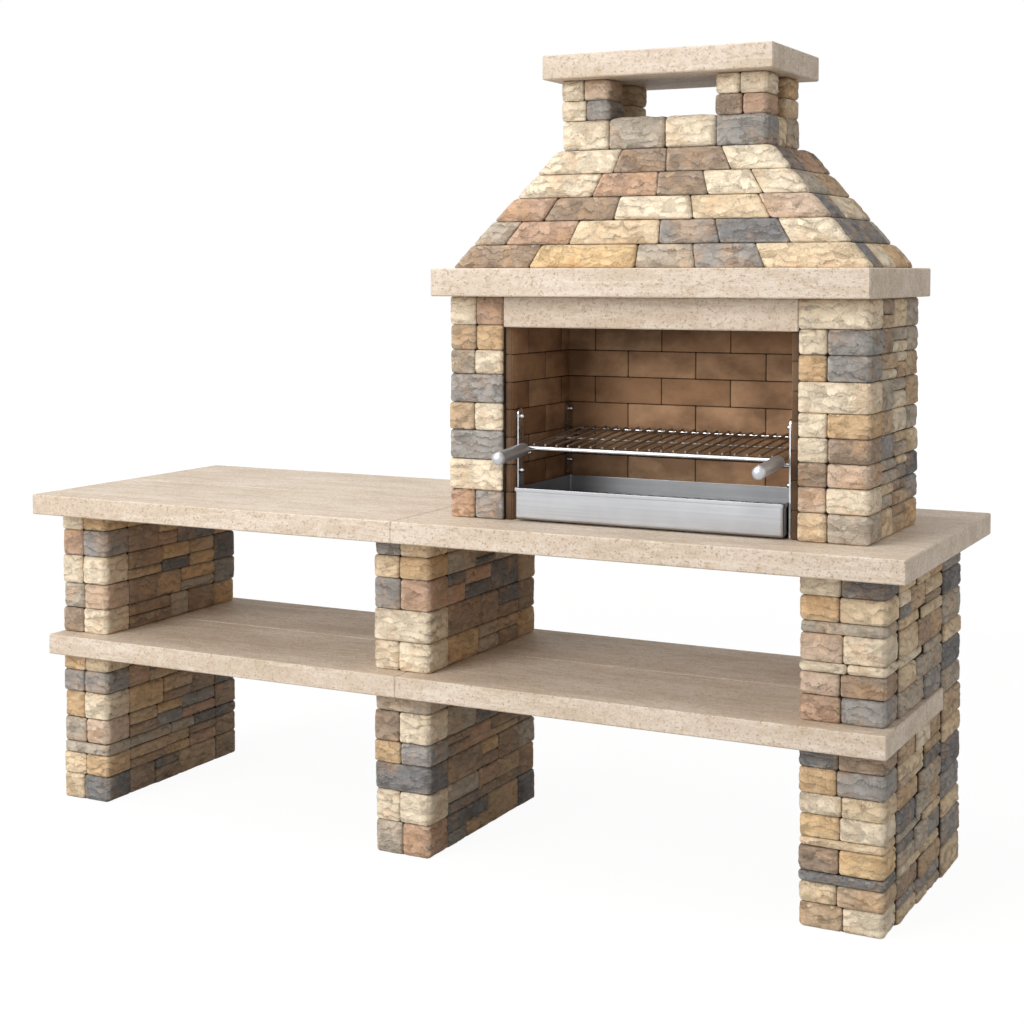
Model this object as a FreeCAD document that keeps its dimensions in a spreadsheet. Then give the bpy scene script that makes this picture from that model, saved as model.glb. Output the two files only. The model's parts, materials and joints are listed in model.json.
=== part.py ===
"""Masonry barbecue with stone piers, limestone slabs, a firebrick hearth and a hipped stone hood.

Millimetres, +Z up. X runs along the worktop, the front faces -Y, and the origin is on the ground
under the middle of the worktop.
"""
import FreeCAD, Part
import math
import os
import Sketcher

Vector = FreeCAD.Vector
doc = FreeCAD.newDocument("masonry_barbecue")

# Driving dimensions. A "start" is measured from the worktop's left end, a "front" from its front edge.
SIZES = {
    "worktop_length": 2540,
    "worktop_depth": 870,
    "worktop_height": 910,
    "worktop_thickness": 57,
    "worktop_joint_start": 1205,
    "plank_joint_front": 428,
    "shelf_start": 4,
    "shelf_length": 2480,
    "shelf_front": 58,
    "shelf_depth": 722,
    "shelf_height": 494,
    "shelf_thickness": 57,
    "shelf_joint_start": 1182,
    "slab_arris": 3,
    "left_pier_start": 8,
    "left_pier_width": 160,
    "middle_pier_start": 1083,
    "middle_pier_width": 167,
    "right_pier_width": 205,
    "right_pier_end_inset": 20,
    "pier_front": 118,
    "pier_depth": 624,
    "pier_tail_depth": 180,
    "pier_tail_overrun": 33,
    "quoin_depth": 105,
    "stone_bevel": 7,
    "hearth_start": 1294,
    "hearth_front": 153,
    "hearth_depth": 432,
    "left_jamb_width": 156,
    "right_jamb_width": 175,
    "opening_width": 787,
    "opening_height": 498,
    "side_lining_thickness": 20,
    "back_lining_thickness": 25,
    "lining_recess": 16,
    "back_wall_thickness": 48,
    "brick_length": 195,
    "lintel_recess": 4,
    "lintel_height": 79,
    "lintel_depth": 70,
    "mantel_thickness": 72,
    "mantel_side_overhang": 17.5,
    "mantel_front_overhang": 69,
    "mantel_back_overhang": 56,
    "smoke_hole_margin": 8,
    "hood_side_inset": 22,
    "hood_front_inset": 71,
    "hood_back_inset": 76,
    "hood_height": 299,
    "hood_stone_thickness": 38,
    "hood_panel_thickness": 25,
    "hood_crown_ledge": 9,
    "hood_back_ledge": 75,
    "collar_width": 548,
    "collar_depth": 252,
    "collar_front_run": 82,
    "collar_height": 76,
    "collar_wall": 65,
    "post_width": 130,
    "post_depth": 95,
    "post_height": 103,
    "cap_thickness": 62,
    "cap_side_overhang": 33,
    "cap_front_overhang": 50,
    "cap_back_overhang": 59,
    "upright_width": 28,
    "upright_thickness": 4,
    "upright_height": 288,
    "upright_front": 200,
    "upright_back_gap": 19,
    "spacer_length": 6,
    "spacer_width": 20,
    "peg_shank_width": 8,
    "peg_head_width": 13,
    "peg_head_length": 11,
    "peg_end_bevel": 2.5,
    "peg_hole_clearance": 0.5,
    "low_peg_height": 127,
    "high_peg_height": 267,
    "pin_head_length": 32,
    "pin_clearance": 0.4,
    "tray_side_gap": 14,
    "tray_front": 155,
    "tray_back_gap": 28,
    "tray_height": 80,
    "tray_sheet": 2,
    "tray_hem_height": 11,
    "tray_hem_reach": 2,
    "runner_height": 6,
    "runner_width": 24,
    "runner_inset": 90,
    "runner_setback": 35,
    "grate_gap": 6,
    "grate_bearer_height": 28,
    "grate_bearer_width": 10,
    "grate_bearer_count": 3,
    "grate_bar_height": 8,
    "grate_bar_width": 12,
    "grate_bar_count": 22,
    "grill_side_bar": 10,
    "grill_side_gap": 27,
    "grill_height": 181,
    "grill_tilt": 4.8,
    "grill_front": 185,
    "grill_back_gap": 7,
    "grill_front_bar_diameter": 13,
    "grill_back_bar_diameter": 9,
    "grill_rod_diameter": 6,
    "grill_rod_count": 21,
    "grill_rod_tip": 4,
    "grip_diameter": 33,
    "grip_wall": 2,
    "grip_length": 140,
    "grip_cap_length": 12,
    "grip_cap_bevel": 5,
    "ferrule_length": 8,
    "ferrule_bevel": 3,
    "side_bar_tip": 6,
}

# Courses from the top down: relative height, and where the front joint stands (None: one stone across).
PIER_COURSES = {
    "upper_left": ((55, .47), (73, .47), (79, .46), (70, .5), (70, .47)),
    "lower_left": ((53, .5), (62, .47), (75, .46), (70, .5), (32, None), (60, .5), (72, .45)),
    "upper_middle": ((58, .47), (65, .46), (90, .48), (92, None), (85, .45)),
    "lower_middle": ((58, None), (88, .45), (62, .48), (80, None), (90, .45), (95, .5)),
    "upper_right": ((90, .48), (88, .46), (42, None), (98, .5), (36, .55), (80, .47), (92, .48)),
    "lower_right": ((80, .46), (92, .44), (75, .5), (82, .48), (32, None), (90, .47), (38, None),
                    (75, .45), (90, .52)),
}
TAIL_COURSES = ((64, .5), (58, .42), (76, .55), (46, None), (70, .46), (60, .54), (72, .44), (52, None),
                (78, .5), (66, .57), (48, .45), (74, .5), (79, .46))
JAMB_COURSES = {
    "left": ((89, None), (78, .5), (75, .47), (90, None), (85, .47), (92, None), (95, None), (90, .47)),
    "right": ((98, None), (82, .41), (85, .4), (100, None), (79, .41), (80, .42), (78, .41), (82, .4),
              (95, .42)),
}
# Joints between the two quoins of a course, as shares of that length, taken in turn.
LONG_CUTS = ((.42,), (.56,), (.38,), (.6,), (.47,))
SHORT_CUTS = ((.45,), (), (.6,), ())
# Hood courses from the bottom up: front joints from the left, then the side face's joints from the front.
HOOD_COURSES = (
    ((.2, .465, .61, .77), (.3, .66)),
    ((.093, .275, .52, .68, .858), (.52,)),
    ((.158, .378, .617, .839), (.4,)),
    ((.276, .502, .676, .856), (.55,)),
    ((.316, .53, .783), (.42,)),
)
COLLAR_FRONT_JOINT = .53
BACK_WALL_CUTS = ((.33, .67), (.18, .5, .82))
BRICK_COURSES_BELOW_LINTEL = 7
ROD_SIDES = 6
FLUSH = 0.01
# The chimney posts' two courses from the top down: share of the height, and the front joint.
POST_COURSES = ((.51, .47), (.49, .52))


def make_sheet():
    sheet = doc.addObject("Spreadsheet::Sheet", "sizes")
    for row, (alias, number) in enumerate(SIZES.items(), start=1):
        sheet.set(f"A{row}", alias)
        sheet.set(f"B{row}", str(number))
        sheet.setAlias(f"B{row}", alias)
    doc.recompute()
    return sheet


sheet = make_sheet()
parts = []


def value(expression):
    """The number that an expression on the sheet's sizes comes to."""
    return float(sheet.evalExpression(expression))


def size(alias):
    return f"sizes.{alias}"


def total(*terms):
    return "(" + " + ".join(terms) + ")"


def minus(first, *others):
    return "(" + " - ".join((first,) + others) + ")"


# Places that several pieces share, as expressions on the sheet.
left_end = f"(-{size('worktop_length')} / 2)"
front_edge = f"(-{size('worktop_depth')} / 2)"
worktop_top = size("worktop_height")
worktop_underside = minus(worktop_top, size("worktop_thickness"))
shelf_top = size("shelf_height")
shelf_underside = minus(shelf_top, size("shelf_thickness"))
shelf_back = total(front_edge, size("shelf_front"), size("shelf_depth"))
shelf_left = total(left_end, size("shelf_start"))
shelf_right = total(shelf_left, size("shelf_length"))
pier_lefts = {
    "left": total(left_end, size("left_pier_start")),
    "middle": total(left_end, size("middle_pier_start")),
    "right": minus(shelf_right, size("right_pier_end_inset"), size("right_pier_width")),
}
pier_face = total(front_edge, size("pier_front"))
pier_back = total(pier_face, size("pier_depth"))
tail_back = total(pier_back, size("pier_tail_overrun"))
tail_face = minus(tail_back, size("pier_tail_depth"))
hearth_left = total(left_end, size("hearth_start"))
hearth_face = total(front_edge, size("hearth_front"))
hearth_back = total(hearth_face, size("hearth_depth"))
opening_left = total(hearth_left, size("left_jamb_width"))
opening_right = total(opening_left, size("opening_width"))
hearth_right = total(opening_right, size("right_jamb_width"))
hearth_middle = f"(({hearth_left} + {hearth_right}) / 2)"
fire_left = total(opening_left, size("side_lining_thickness"))
fire_right = minus(opening_right, size("side_lining_thickness"))
fire_back = minus(hearth_back, size("back_wall_thickness"), size("back_lining_thickness"))
upright_depths = {
    "front": total(front_edge, size("upright_front")),
    "back": minus(fire_back, size("upright_back_gap")),
}
lining_face = total(hearth_face, size("lining_recess"))
lintel_underside = total(worktop_top, size("opening_height"))
lintel_face = total(hearth_face, size("lintel_recess"))
lintel_back = total(lintel_face, size("lintel_depth"))
mantel_underside = total(lintel_underside, size("lintel_height"))
mantel_top = total(mantel_underside, size("mantel_thickness"))
mantel_left = minus(hearth_left, size("mantel_side_overhang"))
mantel_right = total(hearth_right, size("mantel_side_overhang"))
mantel_face = minus(hearth_face, size("mantel_front_overhang"))
mantel_back = total(hearth_back, size("mantel_back_overhang"))
hood_top = total(mantel_top, size("hood_height"))
collar_top = total(hood_top, size("collar_height"))
collar_left = minus(hearth_middle, f"{size('collar_width')} / 2")
collar_face = total(mantel_face, size("hood_front_inset"), size("collar_front_run"))
post_top = total(collar_top, size("post_height"))
tray_left = total(fire_left, size("tray_side_gap"))
tray_width = minus(fire_right, fire_left, f"2 * {size('tray_side_gap')}")
tray_face = total(front_edge, size("tray_front"))
tray_depth = minus(fire_back, size("tray_back_gap"), tray_face)
tray_underside = total(worktop_top, size("runner_height"))
grate_underside = total(tray_underside, size("tray_sheet"))
grill_left = total(fire_left, size("grill_side_gap"))
grill_right = minus(fire_right, size("grill_side_gap"))
grill_underside = total(worktop_top, size("grill_height"))
grill_middle = total(grill_underside, f"{size('grill_side_bar')} / 2")
grill_face = total(front_edge, size("grill_front"))
grill_back = minus(fire_back, size("grill_back_gap"))
grill_depth = minus(grill_back, grill_face)
grill_turn = f"({size('grill_tilt')} * 1 deg)"
peg_hole_width = total(size("peg_shank_width"), size("peg_hole_clearance"))


def add_group(label, solids):
    """One sub-part made of several separate solids."""
    group = doc.addObject("Part::Feature", label)
    group.Label = label
    group.Shape = Part.makeCompound(solids)
    group.Placement = FreeCAD.Placement()
    parts.append(group)
    return group


def new_body(label, x, y, z, keep=True, tilt=None):
    """A body at x, y, z; a tilt, in degrees, turns it about the X axis through that place."""
    body = doc.addObject("PartDesign::Body", label)
    body.Label = label
    if tilt:
        body.Placement = FreeCAD.Placement(Vector(), FreeCAD.Rotation(Vector(1, 0, 0), value(tilt)))
        body.setExpression("Placement.Rotation.Angle", tilt)
    for axis, expression in zip("xyz", (x, y, z)):
        body.setExpression(f"Placement.Base.{axis}", expression)
    if keep:
        parts.append(body)
    return body


def new_sketch(body, role, name, raised=None):
    sketch = body.newObject("Sketcher::SketchObject", name)
    plane = next(feature for feature in body.Origin.OriginFeatures if feature.Role == role)
    sketch.AttachmentSupport = (plane, [""])
    sketch.MapMode = "FlatFace"
    if raised:
        sketch.setExpression("AttachmentOffset.Base.z", raised)
    return sketch


def fix_point(sketch, geometry, point, x, y):
    """Hold one point of the sketch at x, y from its origin, each an expression or "0"."""
    for kind, expression, axis in (("DistanceX", x, -2), ("DistanceY", y, -1)):
        if expression == "0":
            sketch.addConstraint(Sketcher.Constraint("PointOnObject", geometry, point, axis))
            continue
        index = sketch.addConstraint(
            Sketcher.Constraint(kind, -1, 1, geometry, point, value(expression)))
        sketch.setExpression(f"Constraints[{index}]", expression)


def add_outline(sketch, corners):
    """A closed outline of straight lines, each corner held by two expressions."""
    points = [Vector(value(x), value(y), 0) for x, y in corners]
    first = sketch.GeometryCount
    count = len(points)
    for number, point in enumerate(points):
        sketch.addGeometry(Part.LineSegment(point, points[(number + 1) % count]), False)
    for number, (x, y) in enumerate(corners):
        follower = first + (number + 1) % count
        sketch.addConstraint(Sketcher.Constraint("Coincident", first + number, 2, follower, 1))
        fix_point(sketch, first + number, 1, x, y)


def rectangle(x0, y0, x1, y1):
    return ((x0, y0), (x1, y0), (x1, y1), (x0, y1))


def polygon(sides, radius, y="0"):
    """Corners of a regular polygon round a point on the sketch's upright axis, one level with it."""
    corners = []
    for number in range(sides):
        turn = 2 * math.pi * number / sides
        shares = (math.cos(turn), math.sin(turn))
        corners.append(tuple(centre if abs(share) < FLUSH else total(centre, f"{radius} * ({share:.6f})")
                             for centre, share in zip(("0", y), shares)))
    return corners


def hexagon(width, y="0"):
    """Corners of a hexagon with flats above and below, from its width across flats."""
    return polygon(6, f"({width} / sqrt(3))", y)


def add_circle(sketch, x, y, diameter):
    circle = Part.Circle(Vector(value(x), value(y), 0), Vector(0, 0, 1), value(diameter) / 2)
    geometry = sketch.addGeometry(circle, False)
    fix_point(sketch, geometry, 3, x, y)
    index = sketch.addConstraint(Sketcher.Constraint("Diameter", geometry, value(diameter)))
    sketch.setExpression(f"Constraints[{index}]", diameter)


def pad(body, sketch, length, name="Pad"):
    feature = body.newObject("PartDesign::Pad", name)
    feature.Profile = sketch
    feature.setExpression("Length", length)
    sketch.Visibility = False
    return feature


def edge_names(shape, wanted):
    return [f"Edge{number}" for number, edge in enumerate(shape.Edges, start=1) if wanted(edge)]


def ease_edges(body, kind, expression, wanted=lambda edge: True):
    """Chamfer or fillet the wanted edges of what the body holds so far."""
    doc.recompute()
    base = body.Tip
    feature = body.newObject(f"PartDesign::{kind}", kind)
    feature.Base = (base, edge_names(base.Shape, wanted))
    feature.setExpression("Size" if kind == "Chamfer" else "Radius", expression)
    return feature


def make_slab(label, corners, bottom, thickness, hole=None):
    """A limestone slab with eased edges; its corners are expressions in the object's frame."""
    x0, y0 = corners[0]
    body = new_body(label, x0, y0, bottom)

    def from_corner(points):
        return [("0" if x == x0 else minus(x, x0), "0" if y == y0 else minus(y, y0)) for x, y in points]

    sketch = new_sketch(body, "XY_Plane", f"{label}_outline")
    add_outline(sketch, from_corner(corners))
    if hole:
        add_outline(sketch, from_corner(hole))
    pad(body, sketch, thickness)
    ease_edges(body, "Chamfer", size("slab_arris"))
    return body


def make_worktop_and_shelf():
    right_end = minus("0", left_end)
    back_edge = minus("0", front_edge)
    seam = total(left_end, size("worktop_joint_start"))
    plank_seam = total(front_edge, size("plank_joint_front"))
    for side, x0, x1 in (("left", left_end, seam), ("right", seam, right_end)):
        for row, y0, y1 in (("front", front_edge, plank_seam), ("back", plank_seam, back_edge)):
            make_slab(f"worktop_{side}_{row}", rectangle(x0, y0, x1, y1), worktop_underside,
                      size("worktop_thickness"))

    shelf_face = total(front_edge, size("shelf_front"))
    shelf_seam = total(left_end, size("shelf_joint_start"))
    tail_left = pier_lefts["right"]
    notched = ((shelf_seam, plank_seam), (shelf_right, plank_seam), (shelf_right, tail_face),
               (tail_left, tail_face), (tail_left, shelf_back), (shelf_seam, shelf_back))
    outlines = {
        "shelf_left_front": rectangle(shelf_left, shelf_face, shelf_seam, plank_seam),
        "shelf_left_back": rectangle(shelf_left, plank_seam, shelf_seam, shelf_back),
        "shelf_right_front": rectangle(shelf_seam, shelf_face, shelf_right, plank_seam),
        "shelf_right_back": notched,
    }
    for label, corners in outlines.items():
        make_slab(label, corners, shelf_underside, size("shelf_thickness"))


def bevelled(solid, on_show):
    """Bevel the edges round the faces of a stone that are on show."""
    bevel = value(size("stone_bevel"))
    shown = [face for face in solid.Faces if on_show(face)]
    edges = []
    for face in shown:
        for edge in face.Edges:
            if not any(edge.isSame(other) for other in edges):
                edges.append(edge)
    return solid.makeChamfer(bevel, edges).Solids[0] if edges else solid


OUTWARD = {
    "left": Vector(-1, 0, 0),
    "right": Vector(1, 0, 0),
    "front": Vector(0, -1, 0),
    "back": Vector(0, 1, 0),
}
# The stones' faces are bevelled on these sides and left square at the back.
DRESSED = ("left", "right", "front")


def box_stone(x0, x1, y0, y1, z0, z1, shown):
    block = Part.makeBox(x1 - x0, y1 - y0, z1 - z0, Vector(x0, y0, z0))

    def on_show(face):
        normal = face.normalAt(0, 0)
        return any(normal.dot(OUTWARD[side]) > 0.99 for side in shown)

    return bevelled(block, on_show)


def course_levels(courses, bottom, top):
    """Heights of the courses from the top down, as (z0, z1) pairs."""
    weights = [course[0] for course in courses]
    levels = []
    upper = top
    for weight in weights:
        lower = upper - (top - bottom) * weight / sum(weights)
        levels.append((lower, upper))
        upper = lower
    return levels


def across(x0, x1, split):
    if split is None:
        return [(x0, x1)]
    joint = x0 + (x1 - x0) * split
    return [(x0, joint), (joint, x1)]


def along(y0, y1, cuts):
    joints = [y0] + [y0 + (y1 - y0) * cut for cut in cuts] + [y1]
    return list(zip(joints, joints[1:]))


def lay_wall(x_range, y_range, z_range, courses, cuts, shown, rear_quoins=True, flare=0):
    """Stones of a pier: quoins at the front and back, through stones between them.

    Every other course has one stone across its back. A flare makes the through stones reach further to
    the right, step by step towards the back.
    """
    x0, x1 = x_range
    y0, y1 = y_range
    quoin = value(size("quoin_depth"))
    tail = y1 - quoin if rear_quoins else y1
    stones = []
    for number, (z0, z1) in enumerate(course_levels(courses, *z_range)):
        split = courses[number][1]
        cells = [(pair, (y0, y0 + quoin)) for pair in across(x0, x1, split)]
        through = along(y0 + quoin, tail, cuts[number % len(cuts)])
        for step, pair in enumerate(through, start=1):
            cells.append(((x0, x1 + flare * step / (len(through) + 1)), pair))
        if rear_quoins:
            paired = split is not None and number % 2
            cells += [(pair, (tail, y1)) for pair in across(x0, x1, 1 - split if paired else None)]
        stones += lay_course(cells, x_range, y_range, (z0, z1), shown)
    return stones


def lay_course(cells, x_range, y_range, z_range, shown):
    """One stone per cell; a stone shows the sides on which it reaches the edge of the wall."""
    stones = []
    for (x0, x1), (y0, y1) in cells:
        reaches = {
            "left": x0 == x_range[0],
            "right": x1 >= x_range[1],
            "front": y0 == y_range[0],
            "back": y1 == y_range[1],
        }
        sides = [side for side in shown if reaches[side]]
        stones.append(box_stone(x0, x1, y0, y1, *z_range, sides))
    return stones


def make_piers():
    storeys = {"lower": (0, value(shelf_underside)), "upper": (value(shelf_top), value(worktop_underside))}
    face, back, tail = value(pier_face), value(pier_back), value(tail_face)
    tail_range = (tail, value(tail_back))
    spans = {}
    for turn, name in enumerate(pier_lefts):
        start = value(pier_lefts[name])
        spans[name] = (start, start + value(size(f"{name}_pier_width")))
        for storey, z_range in storeys.items():
            turned = LONG_CUTS[turn:] + LONG_CUTS[:turn]
            if name == "right":
                stones = lay_wall(spans[name], (face, tail), z_range, PIER_COURSES[f"{storey}_{name}"],
                                  turned, DRESSED, rear_quoins=False,
                                  flare=value(size("right_pier_end_inset")))
            else:
                stones = lay_wall(spans[name], (face, back), z_range, PIER_COURSES[f"{storey}_{name}"],
                                  turned, DRESSED)
            add_group(f"{storey}_{name}_pier", stones)

    # The right pier's rear stones run from the ground to the worktop, behind the end of the shelf.
    stones = []
    tail_span = (spans["right"][0], value(shelf_right))
    levels = course_levels(TAIL_COURSES, 0, value(worktop_underside))
    for (_, split), z_range in zip(TAIL_COURSES, levels):
        cells = [(pair, tail_range) for pair in across(*tail_span, split)]
        stones += lay_course(cells, tail_span, tail_range, z_range, ("left", "right"))
    add_group("right_pier_tail", stones)


def make_hearth_walls():
    face, back = value(hearth_face), value(hearth_back)
    z_range = (value(worktop_top), value(mantel_underside))
    jambs = {"left": (value(hearth_left), value(opening_left)),
             "right": (value(opening_right), value(hearth_right))}
    for side, x_range in jambs.items():
        stones = lay_wall(x_range, (face, back), z_range, JAMB_COURSES[side], SHORT_CUTS, (side, "front"))
        add_group(f"{side}_jamb", stones)

    x_range = (value(opening_left), value(opening_right))
    y_range = (back - value(size("back_wall_thickness")), back)
    stones = []
    for number, level in enumerate(course_levels(JAMB_COURSES["left"], *z_range)):
        cuts = BACK_WALL_CUTS[number % len(BACK_WALL_CUTS)]
        cells = [(pair, y_range) for pair in along(*x_range, cuts)]
        stones += lay_course(cells, x_range, y_range, level, ())
    add_group("back_wall", stones)


def brick_joints(start, end, offset):
    """Running bond: joints a brick apart, from an offset, with no sliver at either end."""
    length = value(size("brick_length"))
    joints = [start]
    joint = start + offset * length
    while joint < end - length / 5:
        if joint > start + length / 5:
            joints.append(joint)
        joint += length
    return joints + [end]


def brick_levels():
    """Courses up to the lintel, and one more behind it."""
    bottom, middle, top = value(worktop_top), value(lintel_underside), value(mantel_underside)
    step = (middle - bottom) / BRICK_COURSES_BELOW_LINTEL
    levels = [(bottom + step * k, bottom + step * (k + 1)) for k in range(BRICK_COURSES_BELOW_LINTEL)]
    return levels + [(middle, top)]


def peg_axes():
    """Where the wall pegs stand: depth and height of each."""
    heights = [value(total(worktop_top, size(level))) for level in ("low_peg_height", "high_peg_height")]
    return [(value(depth), height) for depth in upright_depths.values() for height in heights]


def hexagonal_bar(label, steps, hole=None):
    """A piece of hexagonal bar along X, in steps of (start, end, width across flats)."""
    body = new_body(label, "0", "0", "0", keep=False)
    for number, (start, end, width) in enumerate(steps):
        sketch = new_sketch(body, "YZ_Plane", f"{label}_{number}", raised=start)
        add_outline(sketch, hexagon(width))
        if hole:
            add_outline(sketch, hexagon(hole))
        pad(body, sketch, minus(end, start))
    doc.recompute()
    return body


def placed(pattern, x, y, z, facing_left=False):
    """A copy of a pattern that starts at a wall and points into the hearth."""
    shape = pattern.Shape.copy()
    turn = FreeCAD.Rotation(Vector(0, 0, 1), 180 if facing_left else 0)
    shape.Placement = FreeCAD.Placement(Vector(x, y, z), turn)
    return shape


def bored(brick, bores):
    for bore in bores:
        if bore.BoundBox.intersect(brick.BoundBox):
            brick = brick.cut(bore)
    return brick


def make_firebrick_linings():
    thickness = value(size("side_lining_thickness"))
    face, behind_lintel, back = value(lining_face), value(lintel_back), value(fire_back)
    bore = hexagonal_bar("bore_pattern", [("0", size("side_lining_thickness"), peg_hole_width)])
    walls = {"left": value(opening_left), "right": value(opening_right) - thickness}
    for side, x0 in walls.items():
        bores = [placed(bore, x0, y, z) for y, z in peg_axes()]
        bricks = []
        for number, (z0, z1) in enumerate(brick_levels()):
            start = face if number < BRICK_COURSES_BELOW_LINTEL else behind_lintel
            joints = brick_joints(start, back, 1 if number % 2 else 0.5)
            for y0, y1 in zip(joints, joints[1:]):
                brick = Part.makeBox(thickness, y1 - y0, z1 - z0, Vector(x0, y0, z0))
                bricks.append(bored(brick, bores))
        add_group(f"{side}_firebrick_lining", bricks)

    depth = value(size("back_lining_thickness"))
    bricks = []
    for number, (z0, z1) in enumerate(brick_levels()):
        joints = brick_joints(value(opening_left), value(opening_right), 1 if number % 2 else 0.5)
        for x0, x1 in zip(joints, joints[1:]):
            bricks.append(Part.makeBox(x1 - x0, depth, z1 - z0, Vector(x0, back, z0)))
    add_group("back_firebrick_lining", bricks)


def make_lintel_and_mantel():
    make_slab("lintel", rectangle(opening_left, lintel_face, opening_right, lintel_back),
              lintel_underside, size("lintel_height"))
    margin = size("smoke_hole_margin")
    hole = rectangle(fire_left, total(lintel_back, margin), fire_right, minus(fire_back, margin))
    make_slab("mantel", rectangle(mantel_left, mantel_face, mantel_right, mantel_back), mantel_underside,
              size("mantel_thickness"), hole)


class Hood:
    """A hipped frustum: four sloping faces between the mantel and the chimney collar."""

    def __init__(self):
        self.bottom, self.top = value(mantel_top), value(hood_top)
        inset = value(size("hood_side_inset"))
        base_left, base_right = value(mantel_left) + inset, value(mantel_right) - inset
        base_front = value(mantel_face) + value(size("hood_front_inset"))
        base_back = value(mantel_back) - value(size("hood_back_inset"))
        left, front = value(collar_left), value(collar_face)
        ledge = value(size("hood_crown_ledge"))
        crown_back = front + value(size("collar_depth")) + value(size("hood_back_ledge"))
        self.edges = {
            "left": (base_left, left - ledge),
            "right": (base_right, left + value(size("collar_width")) + ledge),
            "front": (base_front, front - ledge),
            "back": (base_back, crown_back),
        }

    def at(self, side, z, depth=0.0):
        """Where a face is at height z, moved inwards by a depth measured square to the face."""
        base, crown = self.edges[side]
        height = self.top - self.bottom
        share = (z - self.bottom) / height
        inward = -1 if side in ("right", "back") else 1
        level_depth = depth * math.hypot(height, crown - base) / height
        return base + (crown - base) * share + inward * level_depth

    def shows(self, face):
        """Tells whether a face of a stone lies on a dressed side of the hood."""
        points = [vertex.Point for vertex in face.Vertexes]
        for side in DRESSED:
            axis = 1 if side == "front" else 0
            if all(abs(point[axis] - self.at(side, point.z)) < FLUSH for point in points):
                return True
        return False


def hexahedron(low, high):
    """A solid between two level quadrilaterals, both listed anticlockwise from above."""
    quads = [low[::-1], high]
    quads += [(low[k - 1], low[k], high[k], high[k - 1]) for k in range(4)]
    shell = Part.Shell([Part.Face(Part.makePolygon(list(quad) + [quad[0]])) for quad in quads])
    shell.sewShape()
    return Part.Solid(shell)


def hood_block(levels, x_of, y_of):
    """A block between two levels; x_of and y_of give its two edges at a height."""
    rings = []
    for z in levels:
        (x0, x1), (y0, y1) = x_of(z), y_of(z)
        rings.append([Vector(x0, y0, z), Vector(x1, y0, z), Vector(x1, y1, z), Vector(x0, y1, z)])
    return hexahedron(*rings)


def between(first, second, share):
    return first + (second - first) * share


def hood_face_blocks(hood, side, levels, cuts, outer, inner):
    """Blocks of one course on one face. Front and back run out to the hips, the sides fit between."""
    blocks = []
    shares = (0,) + tuple(cuts) + (1,)
    for first, last in zip(shares, shares[1:]):
        def reach(z, first=first, last=last):
            if side in ("front", "back"):
                ends = hood.at("left", z, outer), hood.at("right", z, outer)
            else:
                ends = hood.at("front", z, inner), hood.at("back", z, inner)
            return between(*ends, first), between(*ends, last)

        def thick(z):
            return tuple(sorted((hood.at(side, z, outer), hood.at(side, z, inner))))

        if side in ("front", "back"):
            blocks.append(hood_block(levels, reach, thick))
        else:
            blocks.append(hood_block(levels, thick, reach))
    return blocks


def make_hood():
    hood = Hood()
    skin = value(size("hood_stone_thickness"))
    lining = skin + value(size("hood_panel_thickness"))
    panels = []
    for side in OUTWARD:
        panels += hood_face_blocks(hood, side, (hood.bottom, hood.top), (), skin, lining)
    add_group("hood_panels", panels)

    rise = (hood.top - hood.bottom) / len(HOOD_COURSES)
    for number, (front_cuts, side_cuts) in enumerate(HOOD_COURSES):
        levels = (hood.bottom + rise * number, hood.bottom + rise * (number + 1))
        cuts = {"front": front_cuts, "back": front_cuts[::2], "left": side_cuts, "right": side_cuts}
        stones = []
        for side, joints in cuts.items():
            blocks = hood_face_blocks(hood, side, levels, joints, 0, skin)
            stones += [bevelled(block, hood.shows) for block in blocks]
        add_group(f"hood_course_{number + 1}", stones)


def make_chimney():
    x0 = value(collar_left)
    y0 = value(collar_face)
    x_range = (x0, x0 + value(size("collar_width")))
    y_range = (y0, y0 + value(size("collar_depth")))
    width, depth = value(size("post_width")), value(size("post_depth"))
    wall = value(size("collar_wall"))
    columns = {"left": (x0, x0 + width), "right": (x_range[1] - width, x_range[1])}
    rows = {"front": (y0, y0 + depth), "back": (y_range[1] - depth, y_range[1])}

    cells = [(column, row) for column in columns.values() for row in rows.values()]
    run = (columns["left"][1], columns["right"][0])
    joint = between(*run, COLLAR_FRONT_JOINT)
    for strip in ((y0, y0 + wall), (y_range[1] - wall, y_range[1])):
        cells += [((run[0], joint), strip), ((joint, run[1]), strip)]
    gap = (rows["front"][1], rows["back"][0])
    cells += [((x0, x0 + wall), gap), ((x_range[1] - wall, x_range[1]), gap)]
    z_range = (value(hood_top), value(collar_top))
    add_group("chimney_collar", lay_course(cells, x_range, y_range, z_range, DRESSED))

    levels = course_levels(POST_COURSES, value(collar_top), value(post_top))
    for row, row_range in rows.items():
        for column, column_range in columns.items():
            stones = []
            for (_, split), z_range in zip(POST_COURSES, levels):
                pairs = [(pair, row_range) for pair in across(*column_range, split)]
                stones += lay_course(pairs, column_range, row_range, z_range, DRESSED)
            add_group(f"chimney_post_{row}_{column}", stones)

    side, front, back = (size(f"cap_{name}_overhang") for name in ("side", "front", "back"))
    corners = rectangle(minus(collar_left, side), minus(collar_face, front),
                        total(collar_left, size("collar_width"), side),
                        total(collar_face, size("collar_depth"), back))
    make_slab("chimney_cap", corners, post_top, size("cap_thickness"))


def pin_height(depth):
    """Height of a grill pin's axis above the worktop, just clear of the grill's sloping side bars."""
    head = size("peg_head_width")
    first_touch = minus(depth, f"{head} / (2 * sqrt(3))")
    side_bar = total(size("grill_height"), f"{minus(first_touch, grill_face)} * tan{grill_turn}")
    return minus(side_bar, size("pin_clearance"), f"{head} / 2")


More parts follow.
